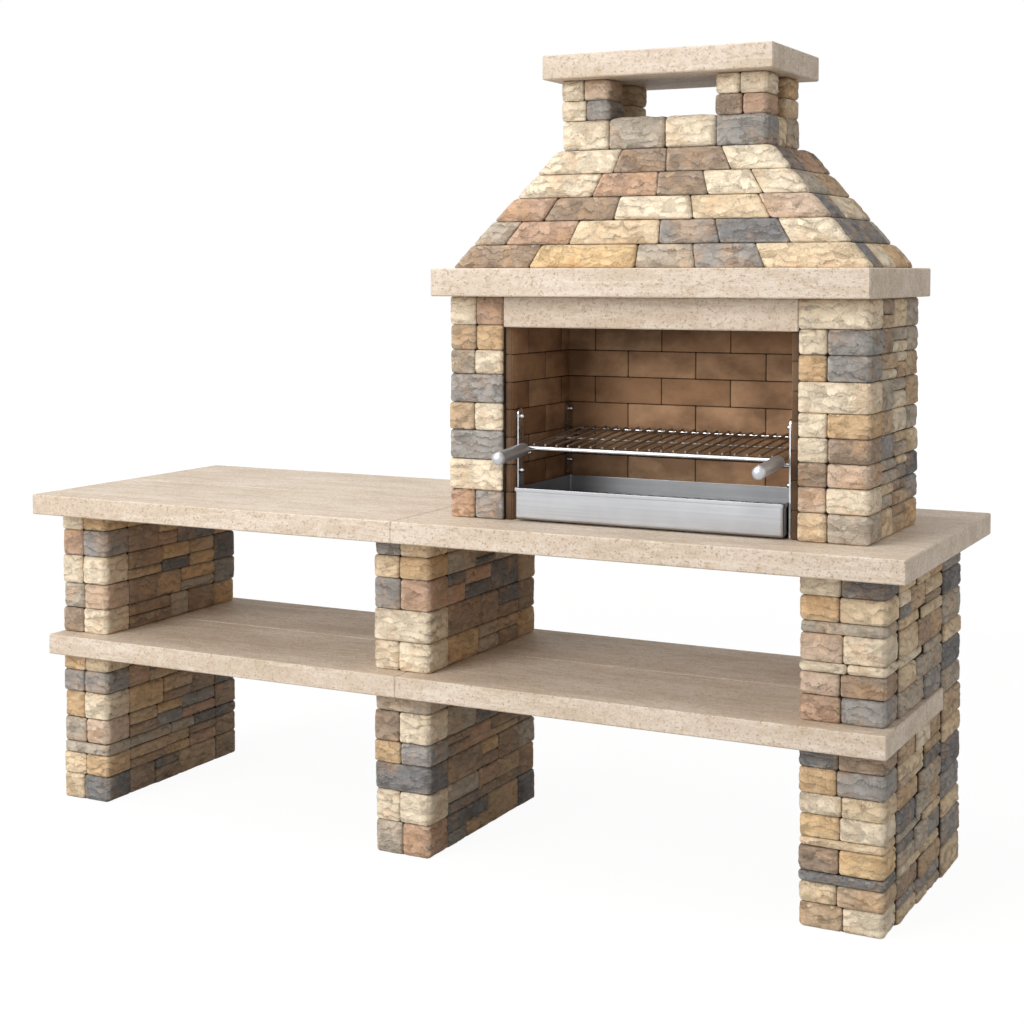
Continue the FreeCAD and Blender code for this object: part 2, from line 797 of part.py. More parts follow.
def make_uprights():
    """Flat bars with rounded tops, held off the lining by spacers and pierced for two pegs and a pin."""
    width, height = size("upright_width"), size("upright_height")
    half = f"({width} / 2)"
    crown = minus(height, half)
    left_face = total(fire_left, size("spacer_length"))
    right_face = minus(fire_right, size("spacer_length"), size("upright_thickness"))
    for row, depth in upright_depths.items():
        for side, x in (("left", left_face), ("right", right_face)):
            label = f"{side}_{row}_upright"
            body = new_body(label, x, depth, worktop_top)
            sketch = new_sketch(body, "YZ_Plane", f"{label}_outline")
            w, z = value(half), value(crown)
            foot = sketch.addGeometry(Part.LineSegment(Vector(-w, 0, 0), Vector(w, 0, 0)), False)
            near = sketch.addGeometry(Part.LineSegment(Vector(w, 0, 0), Vector(w, z, 0)), False)
            circle = Part.Circle(Vector(0, z, 0), Vector(0, 0, 1), w)
            top = sketch.addGeometry(Part.ArcOfCircle(circle, 0, math.pi), False)
            far = sketch.addGeometry(Part.LineSegment(Vector(-w, z, 0), Vector(-w, 0, 0)), False)
            for first, second in (((foot, 2), (near, 1)), ((far, 2), (foot, 1))):
                sketch.addConstraint(Sketcher.Constraint("Coincident", *first, *second))
            sketch.addConstraint(Sketcher.Constraint("Tangent", near, 2, top, 1))
            sketch.addConstraint(Sketcher.Constraint("Tangent", top, 2, far, 1))
            fix_point(sketch, foot, 1, f"-{half}", "0")
            fix_point(sketch, foot, 2, half, "0")
            fix_point(sketch, top, 3, "0", crown)
            for level in (size("low_peg_height"), size("high_peg_height"), pin_height(depth)):
                add_outline(sketch, hexagon(peg_hole_width, level))
            pad(body, sketch, size("upright_thickness"))


def make_pegs_and_spacers():
    """Hexagonal pegs through the uprights into the lining, spacers behind these, pins for the grill."""
    lining, spacer = size("side_lining_thickness"), size("spacer_length")
    plate, shank, head = size("upright_thickness"), size("peg_shank_width"), size("peg_head_width")
    through = total(lining, spacer, plate)
    peg_end = total(through, size("peg_head_length"))
    pin_end = total(plate, size("pin_head_length"))
    peg = hexagonal_bar("peg_pattern", [("0", through, shank), (through, peg_end, head)])
    pin = hexagonal_bar("pin_pattern", [("0", plate, shank), (plate, pin_end, head)])
    for bar, reach in ((peg, value(peg_end)), (pin, value(pin_end))):
        ease_edges(bar, "Chamfer", size("peg_end_bevel"),
                   lambda edge, reach=reach: edge.BoundBox.XMin > reach - FLUSH)
    ring = hexagonal_bar("spacer_pattern", [("0", spacer, size("spacer_width"))], peg_hole_width)
    doc.recompute()

    pegs, spacers, pins = [], [], []
    for facing_left, wall, face in ((False, opening_left, fire_left), (True, opening_right, fire_right)):
        plate_face = value(face) + value(spacer) * (-1 if facing_left else 1)
        for y, z in peg_axes():
            pegs.append(placed(peg, value(wall), y, z, facing_left))
            spacers.append(placed(ring, value(face), y, z, facing_left))
        for depth in upright_depths.values():
            z = value(total(worktop_top, pin_height(depth)))
            pins.append(placed(pin, plate_face, value(depth), z, facing_left))
    add_group("wall_pegs", pegs)
    add_group("peg_spacers", spacers)
    add_group("grill_pins", pins)


def make_tray():
    """A folded steel tray with a hemmed rim, standing on two runners."""
    sheet_metal, hem = size("tray_sheet"), size("tray_hem_reach")
    width, depth, height = tray_width, tray_depth, size("tray_height")
    body = new_body("charcoal_tray", tray_left, tray_face, tray_underside)
    floor = new_sketch(body, "XY_Plane", "tray_floor")
    add_outline(floor, rectangle("0", "0", width, depth))
    pad(body, floor, height, "TrayBlock")
    doc.recompute()
    block_volume = body.Shape.Volume

    inside = rectangle(sheet_metal, sheet_metal, minus(width, sheet_metal), minus(depth, sheet_metal))
    mouth = new_sketch(body, "XY_Plane", "tray_mouth", raised=height)
    add_outline(mouth, inside)
    hollow = body.newObject("PartDesign::Pocket", "TrayHollow")
    hollow.Profile = mouth
    hollow.setExpression("Length", minus(height, sheet_metal))
    doc.recompute()
    if body.Shape.Volume > 0.5 * block_volume:
        raise RuntimeError("the tray was not hollowed")

    rim = new_sketch(body, "XY_Plane", "tray_rim", raised=minus(height, size("tray_hem_height")))
    add_outline(rim, rectangle(f"-{hem}", f"-{hem}", total(width, hem), total(depth, hem)))
    add_outline(rim, inside)
    pad(body, rim, size("tray_hem_height"), "TrayHem")

    runners = []
    inset = value(size("runner_inset"))
    runner = value(size("runner_width"))
    left, reach = value(tray_left), value(width)
    setback = value(size("runner_setback"))
    run = value(depth) - 2 * setback
    for x in (left + inset, left + reach - inset - runner):
        runners.append(Part.makeBox(runner, run, value(size("runner_height")),
                                    Vector(x, value(tray_face) + setback, value(worktop_top))))
    add_group("tray_runners", runners)


def make_charcoal_grate():
    """Flat bars from front to back, carried on three bearers that stand on the tray's floor."""
    gap = total(size("tray_sheet"), size("grate_gap"))
    length = minus(tray_width, f"2 * {gap}")
    depth = minus(tray_depth, f"2 * {gap}")
    x0, y0 = total(tray_left, gap), total(tray_face, gap)
    bar, bearer = size("grate_bar_width"), size("grate_bearer_width")
    spread_body("grate_bearers", (x0, y0, grate_underside), (length, bearer, size("grate_bearer_height")),
                "V_Axis", minus(depth, bearer), size("grate_bearer_count"))
    spread_body("grate_bars", (x0, y0, total(grate_underside, size("grate_bearer_height"))),
                (bar, depth, size("grate_bar_height")), "H_Axis", minus(length, bar),
                size("grate_bar_count"))


def spread(body, feature, sketch, axis, length, count):
    pattern = body.newObject("PartDesign::LinearPattern", "Spread")
    pattern.Originals = [feature]
    pattern.Direction = (sketch, [axis])
    pattern.setExpression("Length", length)
    pattern.setExpression("Occurrences", count)
    body.Tip = pattern


def spread_body(label, place, extents, axis, length, count):
    """Equal flat bars, spread evenly over a length."""
    body = new_body(label, *place)
    body.AllowCompound = True
    sketch = new_sketch(body, "XY_Plane", f"{label}_outline")
    add_outline(sketch, rectangle("0", "0", extents[0], extents[1]))
    spread(body, pad(body, sketch, extents[2]), sketch, axis, length, count)


def grill_body(label, x, y, z):
    """A body of the grill, which is laid out level and then raised at the back about its front edge."""
    forward, upward = minus(y, grill_face), minus(z, grill_underside)
    depth = total(grill_face, f"{forward} * cos{grill_turn} - {upward} * sin{grill_turn}")
    height = total(grill_underside, f"{forward} * sin{grill_turn} + {upward} * cos{grill_turn}")
    return new_body(label, x, depth, height, tilt=size("grill_tilt"))


def make_cross_bar(label, axis, z, span, diameter, outline):
    """A bar along X between the grill's side bars."""
    body = grill_body(label, total(grill_left, size("grill_side_bar")), axis, z)
    sketch = new_sketch(body, "YZ_Plane", f"{label}_outline")
    outline(sketch, diameter)
    pad(body, sketch, span)


def round_outline(sketch, diameter):
    add_circle(sketch, "0", "0", diameter)


def faceted_outline(sketch, diameter):
    add_outline(sketch, polygon(ROD_SIDES, f"({diameter} / 2)"))


def make_grill():
    """Two square side bars, cross bars welded between them, and rods laid over these."""
    bar, tip = size("grill_side_bar"), size("side_bar_tip")
    span = minus(grill_right, grill_left, f"2 * {bar}")
    for side, x in (("left", grill_left), ("right", minus(grill_right, bar))):
        body = grill_body(f"grill_{side}_side_bar", x, minus(grill_face, tip), grill_underside)
        sketch = new_sketch(body, "XY_Plane", f"{side}_side_bar_outline")
        add_outline(sketch, rectangle("0", "0", bar, total(grill_depth, tip)))
        pad(body, sketch, bar)

    front, back = size("grill_front_bar_diameter"), size("grill_back_bar_diameter")
    front_axis = total(grill_face, f"{front} / 2")
    back_axis = minus(grill_back, f"{back} / 2")
    rest = total(grill_middle, f"{front} / 2")
    make_cross_bar("grill_front_bar", front_axis, grill_middle, span, front, round_outline)
    for name, axis in (("back", back_axis), ("middle", f"(({front_axis} + {back_axis}) / 2)")):
        make_cross_bar(f"grill_{name}_bar", axis, minus(rest, f"{back} / 2"), span, back, faceted_outline)

    rod, rod_end = size("grill_rod_diameter"), size("grill_rod_tip")
    pitch = f"({span} / {size('grill_rod_count')})"
    body = grill_body("grill_rods", total(grill_left, bar, f"{pitch} / 2"), minus(grill_back, rod_end),
                      total(rest, f"{rod} / 2"))
    body.AllowCompound = True
    sketch = new_sketch(body, "XZ_Plane", "grill_rod_outline")
    faceted_outline(sketch, rod)
    feature = pad(body, sketch, minus(grill_depth, f"2 * {rod_end}"))
    spread(body, feature, sketch, "H_Axis", minus(span, pitch), size("grill_rod_count"))


def turned_pair(label, y, profile):
    """Two equal pieces turned about the handles' axes, which point forward from y."""
    bar = size("grill_side_bar")
    body = grill_body(label, total(grill_left, f"{bar} / 2"), y, grill_middle)
    body.AllowCompound = True
    sketch = new_sketch(body, "XY_Plane", f"{label}_profile")
    add_outline(sketch, profile)
    turn = body.newObject("PartDesign::Revolution", "Turn")
    turn.Profile = sketch
    turn.ReferenceAxis = (sketch, ["V_Axis"])
    turn.Angle = 360
    spread(body, turn, sketch, "H_Axis", minus(grill_right, grill_left, bar), "2")


def make_handles():
    """Two tubular grips, each between a ferrule on the side bar's tip and a bevelled end cap."""
    radius = f"({size('grip_diameter')} / 2)"
    inner = minus(radius, size("grip_wall"))
    ferrule, length, cap = size("ferrule_length"), size("grip_length"), size("grip_cap_length")
    bevel, cap_bevel = size("ferrule_bevel"), size("grip_cap_bevel")
    ferrule_back = minus(grill_face, size("side_bar_tip"))
    grip_back = minus(ferrule_back, ferrule)
    turned_pair("handle_ferrules", ferrule_back, (
        ("0", "0"), (minus(radius, bevel), "0"), (radius, f"-{bevel}"), (radius, f"-{ferrule}"),
        ("0", f"-{ferrule}")))
    turned_pair("handle_grips", grip_back, (
        (inner, "0"), (radius, "0"), (radius, f"-{length}"), (inner, f"-{length}")))
    turned_pair("handle_caps", minus(grip_back, length), (
        ("0", "0"), (radius, "0"), (radius, minus(cap_bevel, cap)), (minus(radius, cap_bevel), f"-{cap}"),
        ("0", f"-{cap}")))


def check_document():
    doc.recompute()
    for obj in doc.Objects:
        if {"Invalid", "Error"} & set(obj.State):
            raise RuntimeError(f"{obj.Label} failed: {obj.State}")
    for part in parts:
        if part.Shape.isNull() or not part.Shape.isValid():
            raise RuntimeError(f"{part.Label} has no valid shape")


def write_parts():
    os.makedirs("parts", exist_ok=True)
    for part in parts:
        part.Shape.exportStep(f"parts/{part.Label}.step")
        print(f"{part.Label}: {len(part.Shape.Solids)} solids")


make_worktop_and_shelf()
make_piers()
make_hearth_walls()
make_firebrick_linings()
make_lintel_and_mantel()
make_hood()
make_chimney()
make_uprights()
make_pegs_and_spacers()
make_tray()
make_charcoal_grate()
make_grill()
make_handles()
check_document()
write_parts()
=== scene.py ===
# %% [markdown]
# # Dressing a masonry barbecue
# The construction is ready: piers, slabs, hearth, hood and metalwork stand in one frame, in metres, with
# +Z up. This lesson gives each of them its real surface. Load the frame first, because the dressed
# barbecue has to end up in the same space. Chance is seeded, so that every run lays the same stones.

# %% Load the frame
import json
import math
import random
from collections import namedtuple

import bpy
import numpy as np
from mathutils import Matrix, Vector, noise as fractal


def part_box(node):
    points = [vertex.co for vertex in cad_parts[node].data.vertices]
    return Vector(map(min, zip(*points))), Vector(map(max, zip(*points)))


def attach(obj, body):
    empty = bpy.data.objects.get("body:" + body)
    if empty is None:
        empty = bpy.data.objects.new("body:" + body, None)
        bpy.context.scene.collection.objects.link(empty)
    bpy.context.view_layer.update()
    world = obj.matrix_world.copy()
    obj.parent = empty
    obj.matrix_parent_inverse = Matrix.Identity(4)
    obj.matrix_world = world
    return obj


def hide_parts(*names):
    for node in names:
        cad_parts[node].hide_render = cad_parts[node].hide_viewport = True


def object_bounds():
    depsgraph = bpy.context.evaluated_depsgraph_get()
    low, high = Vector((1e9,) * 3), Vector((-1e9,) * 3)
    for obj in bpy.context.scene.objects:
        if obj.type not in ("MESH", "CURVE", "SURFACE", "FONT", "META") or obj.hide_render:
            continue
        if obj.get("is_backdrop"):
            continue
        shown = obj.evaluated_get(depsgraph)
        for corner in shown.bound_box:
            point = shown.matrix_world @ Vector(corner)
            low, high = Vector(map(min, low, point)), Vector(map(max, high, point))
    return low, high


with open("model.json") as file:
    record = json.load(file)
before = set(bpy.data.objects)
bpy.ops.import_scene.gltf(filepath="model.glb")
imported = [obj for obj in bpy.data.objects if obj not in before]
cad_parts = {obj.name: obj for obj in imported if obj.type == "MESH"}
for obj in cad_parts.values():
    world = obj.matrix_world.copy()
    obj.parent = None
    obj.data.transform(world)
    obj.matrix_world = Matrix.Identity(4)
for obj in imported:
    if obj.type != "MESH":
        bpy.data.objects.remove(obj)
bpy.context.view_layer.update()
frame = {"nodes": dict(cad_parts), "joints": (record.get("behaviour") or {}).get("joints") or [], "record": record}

SEED = 748
chance = random.Random(SEED)
fractal.seed_set(SEED)

# %% [markdown]
# ## The camera
# A camera is a lens, a place and a direction. The picture was taken at standing height from the right,
# with the camera almost level and the frame slid downwards, as an architect's camera does to keep upright
# edges upright. Blender has that slide as the lens shift, so the camera hardly tilts and its frame moves
# instead.

# %% Set up the camera
CAMERA_PLACE = (2.2596, -4.2566, 1.5446)
CAMERA_HEADING = 27.305
CAMERA_PITCH = -2.5
PICTURE_SIZE = 1024
FOCAL_PIXELS = 1748.6
PRINCIPAL_ROW = 350.2

bpy.ops.object.select_all(action="DESELECT")
bpy.ops.object.camera_add(
    location=CAMERA_PLACE,
    rotation=(math.radians(90 + CAMERA_PITCH), 0, math.radians(CAMERA_HEADING)))
camera = bpy.context.object
camera.data.lens = camera.data.sensor_width * FOCAL_PIXELS / PICTURE_SIZE
camera.data.shift_y = (PRINCIPAL_ROW - PICTURE_SIZE / 2) / PICTURE_SIZE
bpy.context.scene.camera = camera
print(f"camera: lens {camera.data.lens:.1f} mm, shift {camera.data.shift_y:.3f}")


# %% [markdown]
# ## Writing materials as sums
# A material is a graph of nodes, and long graphs are hard to read as lists of links. One small class wraps
# a socket, so that `1 - mask` adds a Math node, and its `add` method makes any other node: settings first,
# then the values or links of the sockets.

# %% A socket with arithmetic
class Wire:
    """An output socket in a node tree."""

    def __init__(self, tree, socket=None):
        self.tree = tree
        self.socket = socket

    def add(self, kind, settings=None, inputs=None, output=0):
        node = self.tree.nodes.new(f"ShaderNode{kind}")
        for name, setting in (settings or {}).items():
            setattr(node, name, setting)
        for name, given in (inputs or {}).items():
            if isinstance(given, Wire):
                self.tree.links.new(given.socket, node.inputs[name])
            else:
                node.inputs[name].default_value = given
        return Wire(self.tree, node.outputs[output])

    def math(self, operation, first, second):
        return self.add("Math", {"operation": operation}, {0: first, 1: second})

    def vector(self, operation, *given, output=0):
        return self.add("VectorMath", {"operation": operation}, dict(enumerate(given)), output)

    def __add__(self, other):
        return self.math("ADD", self, other)

    __radd__ = __add__

    def __sub__(self, other):
        return self.math("SUBTRACT", self, other)

    def __rsub__(self, other):
        return self.math("SUBTRACT", other, self)

    def __mul__(self, other):
        return self.math("MULTIPLY", self, other)

    def ramp(self, *stops):
        """The value sent through a ramp of (place, level) stops."""
        sent = self.add("ValToRGB", None, {"Fac": self})
        elements = sent.socket.node.color_ramp.elements
        while len(elements) < len(stops):
            elements.new(1)
        for element, (place, level) in zip(elements, stops):
            element.position = place
            element.color = (level, level, level, 1)
        return sent

    def mix(self, first, second):
        """Two colours mixed by this value."""
        return self.add("Mix", {"data_type": "RGBA"}, {0: self, 6: first, 7: second}, output=2)

    def bump(self, depth, strength):
        return self.add("Bump", None, {"Height": self, "Distance": depth, "Strength": strength})


def srgb(red, green, blue):
    """A colour as it is seen on a screen, 0 to 255, as the linear colour that a shader takes."""
    def line(level):
        share = level / 255
        return share / 12.92 if share <= 0.04045 else ((share + 0.055) / 1.055) ** 2.4
    return (line(red), line(green), line(blue), 1.0)


def new_finish(name, **constants):
    """A material with one Principled shader; returns it, its shader node and a wire to build on."""
    finish = bpy.data.materials.new(name)
    finish.use_nodes = True
    shader = finish.node_tree.nodes["Principled BSDF"]
    for socket, level in constants.items():
        shader.inputs[socket.replace("_", " ")].default_value = level
    return finish, shader, Wire(finish.node_tree)


def feed(shader, socket, wire):
    wire.tree.links.new(wire.socket, shader.inputs[socket])


def noise(wire, place, scale, detail=3.0, roughness=0.55, stretch=(1, 1, 1)):
    """Noise with so many features in a metre, squeezed by stretch along each axis."""
    moved = wire.add("Mapping", None, {"Vector": place, "Scale": [scale * part for part in stretch]})
    inputs = {"Vector": moved, "Scale": 1.0, "Detail": detail, "Roughness": roughness}
    return wire.add("TexNoise", None, inputs)


def object_place(wire):
    return wire.add("TexCoord", output=3)


print("materials: Wire ready")

# %% [markdown]
# ## Floor, backdrop and light
# A studio shot has a floor that fades into a white backdrop. Lighting the floor until it burns out would
# also burn out the pale stone. So the floor and the world look white to the camera, and to mirrors, by the
# Light Path node, and light the object at a plain level. Near the object the floor stays partly matt and
# takes the shadow; that fades with the distance, so no horizon shows.

# %% Build the studio
FLOOR_SIZE = 80
FLOOR_GREY = srgb(192, 191, 189)
FLOOR_GLOW = 0.86
FLOOR_LEVEL = 1.1
FLOOR_FADE = (3.0, 14.0)
SKY_LIGHT = 0.36
WHITE = (1, 1, 1, 1)
SOFTBOXES = {
    "key_softbox": ((-2.6, -6.6, 3.7), 4.2, 420),
    "top_softbox": ((-0.6, -1.2, 6.0), 4.0, 130),
    "rim_softbox": ((6.0, 0.4, 3.4), 2.5, 42),
}


def seen_directly(wire):
    """1 for rays from the camera, or off metal or through glass, 0 for rays that carry light."""
    rays = wire.add("LightPath", output=0)
    kinds = rays.socket.node.outputs
    seen = rays + Wire(wire.tree, kinds["Is Glossy Ray"]) + Wire(wire.tree, kinds["Is Transmission Ray"])
    return seen.math("MINIMUM", seen, 1.0)


def make_floor():
    bpy.ops.object.select_all(action="DESELECT")
    bpy.ops.mesh.primitive_plane_add(size=FLOOR_SIZE)
    floor = bpy.context.object
    floor.name = "studio_floor"
    finish, shader, wire = new_finish("studio_white", Base_Color=FLOOR_GREY, Roughness=1.0,
                                      Specular_IOR_Level=0.0)
    glow = wire.add("Emission", None, {"Color": WHITE, "Strength": FLOOR_LEVEL})
    matt = Wire(finish.node_tree, shader.outputs[0])
    reach = wire.vector("LENGTH", object_place(wire), output=1)
    near, far = FLOOR_FADE
    faded = ((reach - near) * (1 / (far - near))).ramp((0.0, FLOOR_GLOW), (1.0, 1.0))
    both = wire.add("MixShader", None, {0: seen_directly(wire) * faded, 1: matt, 2: glow})
    feed(finish.node_tree.nodes["Material Output"], "Surface", both)
    floor.data.materials.append(finish)
    floor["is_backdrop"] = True


def make_sky():
    world = bpy.data.worlds.new("studio_sky")
    world.use_nodes = True
    bpy.context.scene.world = world
    wire = Wire(world.node_tree)
    back = world.node_tree.nodes["Background"]
    back.inputs["Color"].default_value = WHITE
    feed(back, "Strength", SKY_LIGHT + seen_directly(wire) * (1 - SKY_LIGHT))


def add_softbox(name, place, aim, size, power):
    bpy.ops.object.select_all(action="DESELECT")
    bpy.ops.object.light_add(type="AREA", location=place)
    lamp = bpy.context.object
    lamp.name = name
    lamp.data.shape = "SQUARE"
    lamp.data.size = size
    lamp.data.energy = power
    lamp.rotation_euler = (Vector(aim) - Vector(place)).to_track_quat("-Z", "Y").to_euler()


make_floor()
make_sky()
low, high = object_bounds()
middle = (low + high) / 2
for name, (place, size, power) in SOFTBOXES.items():
    add_softbox(name, place, middle, size, power)
bpy.context.scene.view_settings.view_transform = "Standard"
print("studio: floor, sky and", len(SOFTBOXES), "softboxes")

# %% [markdown]
# ## The colours of split stone
# The walls mix a dozen kinds of stone. Each stone gets one tone of a small palette, stored on its mesh as
# a colour attribute, and the material varies that tone. Split stone breaks in ledges along its beds; the
# colour paints a highlight on the lip of each ledge and shade in the hollow under it. The carving below
# stores each point's height in its beds, so colour, bump and shape follow the same ledges. `set_back` says
# how far a point lies behind the wall's face, `inset` how far from the nearest edge, and `own`, a random
# number of each stone, gives it a pattern of its own. Chips come from a Voronoi texture: each of its cells
# is a small tilted plane.

# %% Mix the stone finish
PALETTE = {
    "cream": srgb(236, 219, 192),
    "sand": srgb(226, 203, 170),
    "ochre": srgb(212, 180, 140),
    "gold": srgb(226, 195, 150),
    "rust": srgb(194, 161, 137),
    "pink": srgb(210, 184, 161),
    "tan": srgb(196, 170, 140),
    "greige": srgb(186, 173, 156),
    "umber": srgb(165, 144, 125),
    "grey": srgb(158, 153, 148),
    "slate": srgb(126, 124, 123),
}
WARM_STAIN = srgb(214, 166, 116)
COOL_STAIN = srgb(146, 136, 126)
# Painted highlight on the ledge lips and painted shade in the hollows under them.
LIP_HIGHLIGHT = srgb(248, 238, 220)
PALE_EDGE = srgb(246, 236, 218)
HOLLOW_SHADE = srgb(80, 62, 48)
# Painted shade in the joints between stones.
JOINT_SHADE = srgb(50, 40, 32)
OWN_SHIFT = (31, 17, 23)
CHIP_BEND = 0.016
CHIP_SQUEEZE = 1.7


def attribute(wire, name):
    return wire.add("Attribute", {"attribute_name": name}, output=2)


def own_place(wire):
    """Object coordinates, shifted by each stone's own number."""
    return wire.vector("MULTIPLY_ADD", attribute(wire, "own"), OWN_SHIFT, object_place(wire))


def multiply(wire, colour, light):
    settings = {"data_type": "RGBA", "blend_type": "MULTIPLY"}
    return wire.add("Mix", settings, {0: 1.0, 6: colour, 7: light}, output=2)


def chipped(wire, place, scale):
    """Heights of small tilted planes, one in each cell of a Voronoi texture."""
    cells = {"feature": "F1", "voronoi_dimensions": "3D"}
    inputs = {"Vector": place, "Scale": scale}
    colour = wire.add("TexVoronoi", cells, inputs, output=1)
    middle = wire.add("TexVoronoi", cells, inputs, output=2)
    tilt = wire.vector("SUBTRACT", colour, (0.5, 0.5, 0.5))
    away = wire.vector("SUBTRACT", place, middle)
    return wire.vector("DOT_PRODUCT", away, tilt, output=1) * scale


def make_split_stone():
    finish, shader, wire = new_finish("split_stone", Specular_IOR_Level=0.2)
    place = own_place(wire)
    blotch = noise(wire, place, 13, detail=3)
    streak = noise(wire, place, 34, detail=5, roughness=0.65, stretch=(1, 1, 2.2))
    crumble = noise(wire, place, 95, detail=5, roughness=0.66, stretch=(1, 1, 1.5))
    grain = noise(wire, place, 270, detail=3, roughness=0.6)
    bent = wire.vector("MULTIPLY_ADD", crumble, [CHIP_BEND] * 3, place)
    chips = chipped(wire, wire.vector("MULTIPLY", bent, (1, 1, CHIP_SQUEEZE)), 34)

    beds = attribute(wire, "beds") + (crumble - 0.5) * 0.9
    rise = beds.math("FRACT", beds, 0.0)
    relief = attribute(wire, "relief")
    # Painted shade: the hollow under each ledge is darkened.
    hollow = rise.ramp((0.6, 0), (0.9, 0.5), (0.985, 1), (1.0, 0)) * relief
    # Painted highlight: the lip of each ledge is made paler.
    lip = rise.ramp((0.0, 1), (0.24, 0)) * relief
    crumbled = crumble.ramp((0.42, 0), (0.62, 1))
    # Paler along the edges of each face.
    edge = attribute(wire, "inset").ramp((0.1, 0), (0.36, 1), (0.62, 0)) * crumbled
    # Painted shade: darker where a point lies behind the face, in the joints between stones.
    joint = attribute(wire, "set_back").ramp((0.32, 0), (0.85, 1))

    tone = wire.add("Attribute", {"attribute_name": "tone"})
    warmed = (blotch.ramp((0.48, 0), (0.68, 1)) * 0.34).mix(tone, WARM_STAIN)
    cooled = (streak.ramp((0.54, 0), (0.72, 1)) * 0.26).mix(warmed, COOL_STAIN)
    # The brightness follows the bump's heights: partly the stone's grain, partly painted shade in the low spots
    # and painted highlight on the high ones.
    light = 0.57 + streak * 0.34 + crumble * 0.66 + grain * 0.54 + chips * 0.36
    lit = (lip * 0.26).mix(multiply(wire, cooled, light), LIP_HIGHLIGHT)
    edge_paled = (edge * 0.3).mix(lit, PALE_EDGE)
    shaded = (hollow * 0.62).mix(edge_paled, HOLLOW_SHADE)
    feed(shader, "Base Color", (joint * 0.9).mix(shaded, JOINT_SHADE))
    feed(shader, "Roughness", 0.76 + grain * 0.2)
    height = (1 - rise) * relief * 0.7 + chips * 1.3 + crumble * 0.8 + streak * 0.3 + grain * 0.34
    feed(shader, "Normal", height.bump(0.014, 1.0))
    return finish


split_stone = make_split_stone()
print("stone: split_stone,", len(PALETTE), "tones")

# %% [markdown]
# ## One rough block, hundreds of stones
# A wall of split stones could be one box with a stone texture, but its corners and joints would stay flat,
# so every stone is modelled. All start as the same block: a cube that is scored by bisect planes, as a
# mason scores a stone. A copy of it is then fitted into the space of each stone. The outer rows of the
# grid form the rounded edge. Only edges round a face on show are rounded, so the stones still touch inside
# the wall.

# %% Score the rough block
EDGE_ROWS = 2
BLOCKS = {}


def scored_block(counts):
    """A cube from 0 to 1, cut into so many slices along each axis; one for each set of counts."""
    if counts in BLOCKS:
        return BLOCKS[counts]
    bpy.ops.object.select_all(action="DESELECT")
    bpy.ops.mesh.primitive_cube_add(size=1, location=(0.5, 0.5, 0.5))
    block = bpy.context.object
    bpy.ops.object.transform_apply(location=True, rotation=False, scale=False)
    bpy.ops.object.mode_set(mode="EDIT")
    for axis, count in enumerate(counts):
        normal = [float(axis == other) for other in range(3)]
        for step in range(1, count):
            bpy.ops.mesh.select_all(action="SELECT")
            bpy.ops.mesh.bisect(plane_co=[step / count] * 3, plane_no=normal)
    bpy.ops.object.mode_set(mode="OBJECT")
    BLOCKS[counts] = block
    return block


print("block:", EDGE_ROWS, "rows for a rounded edge")

# %% [markdown]
# ## The spaces of the stones
# The frame holds every wall as a mesh of many closed solids, one for each stone. Their places are read
# from it and not typed in again, so the stones stay right when a wall changes. Each space becomes a cell
# of eight corners, which knows its sides on show.

# %% Read the stones' spaces from the frame
SIDES = {"left": (0, 0), "right": (0, 1), "front": (1, 0), "back": (1, 1), "bottom": (2, 0), "top": (2, 1)}
# Points this near each other count as level; a stone that stands back by less than the flare still shows.
FLUSH = 0.0005
FLARE = 0.022


class Cell:
    """The space of one stone: its eight corners, the sides on show and its tone."""

    def __init__(self, corners, shown, tone=None):
        self.corners = corners
        self.shown = set(shown)
        self.tone = tone

    def middle(self):
        return self.corners.reshape(8, 3).mean(axis=0)

    def lengths(self):
        edges = [np.linalg.norm(np.diff(self.corners, axis=axis), axis=-1) for axis in range(3)]
        return np.array([edge.mean() for edge in edges])

    def split(self, axis, shares):
        """Smaller cells, cut at shares of the length along an axis."""
        low, high = np.take(self.corners, 0, axis), np.take(self.corners, 1, axis)
        cuts = [0, *shares, 1]
        cells = []
        for start, end in zip(cuts, cuts[1:]):
            corners = np.stack([low + (high - low) * start, low + (high - low) * end], axis)
            inside = {(axis, 0)} if start > 0 else set()
            inside |= {(axis, 1)} if end < 1 else set()
            shown = [side for side in self.shown if SIDES[side] not in inside]
            cells.append(Cell(corners, shown, self.tone))
        return cells


def solids_of(node):
    """The points of each solid in a node: the triangles come solid by solid, and each solid is closed."""
    mesh = frame["nodes"][node].data
    places = [tuple(round(part, 6) for part in vertex.co) for vertex in mesh.vertices]
    solids, points, open_edges = [], [], set()
    for face in mesh.polygons:
        ring = [places[number] for number in face.vertices]
        points += ring
        for edge in zip(ring, ring[1:] + ring[:1]):
            if edge[::-1] in open_edges:
                open_edges.remove(edge[::-1])
            else:
                open_edges.add(edge)
        if not open_edges:
            solids.append(np.array(points))
            points = []
    return solids


def box_cells(node, open_sides):
    """Upright cells of a wall; a stone shows an open side where it nearly reaches the wall's edge."""
    solids = solids_of(node)
    everything = np.concatenate(solids)
    limits = (everything.min(axis=0), everything.max(axis=0))
    cells = []
    for points in solids:
        reach = np.array([points.min(axis=0), points.max(axis=0)])
        grid = [(reach[i, 0], reach[j, 1], reach[k, 2]) for i in (0, 1) for j in (0, 1) for k in (0, 1)]
        shown = []
        for side in open_sides:
            axis, end = SIDES[side]
            if abs(reach[end, axis] - limits[end][axis]) < FLARE:
                shown.append(side)
        cells.append(Cell(np.array(grid).reshape(2, 2, 2, 3), shown))
    return cells


print("cells: the left jamb has", len(solids_of("left_jamb")), "stones")

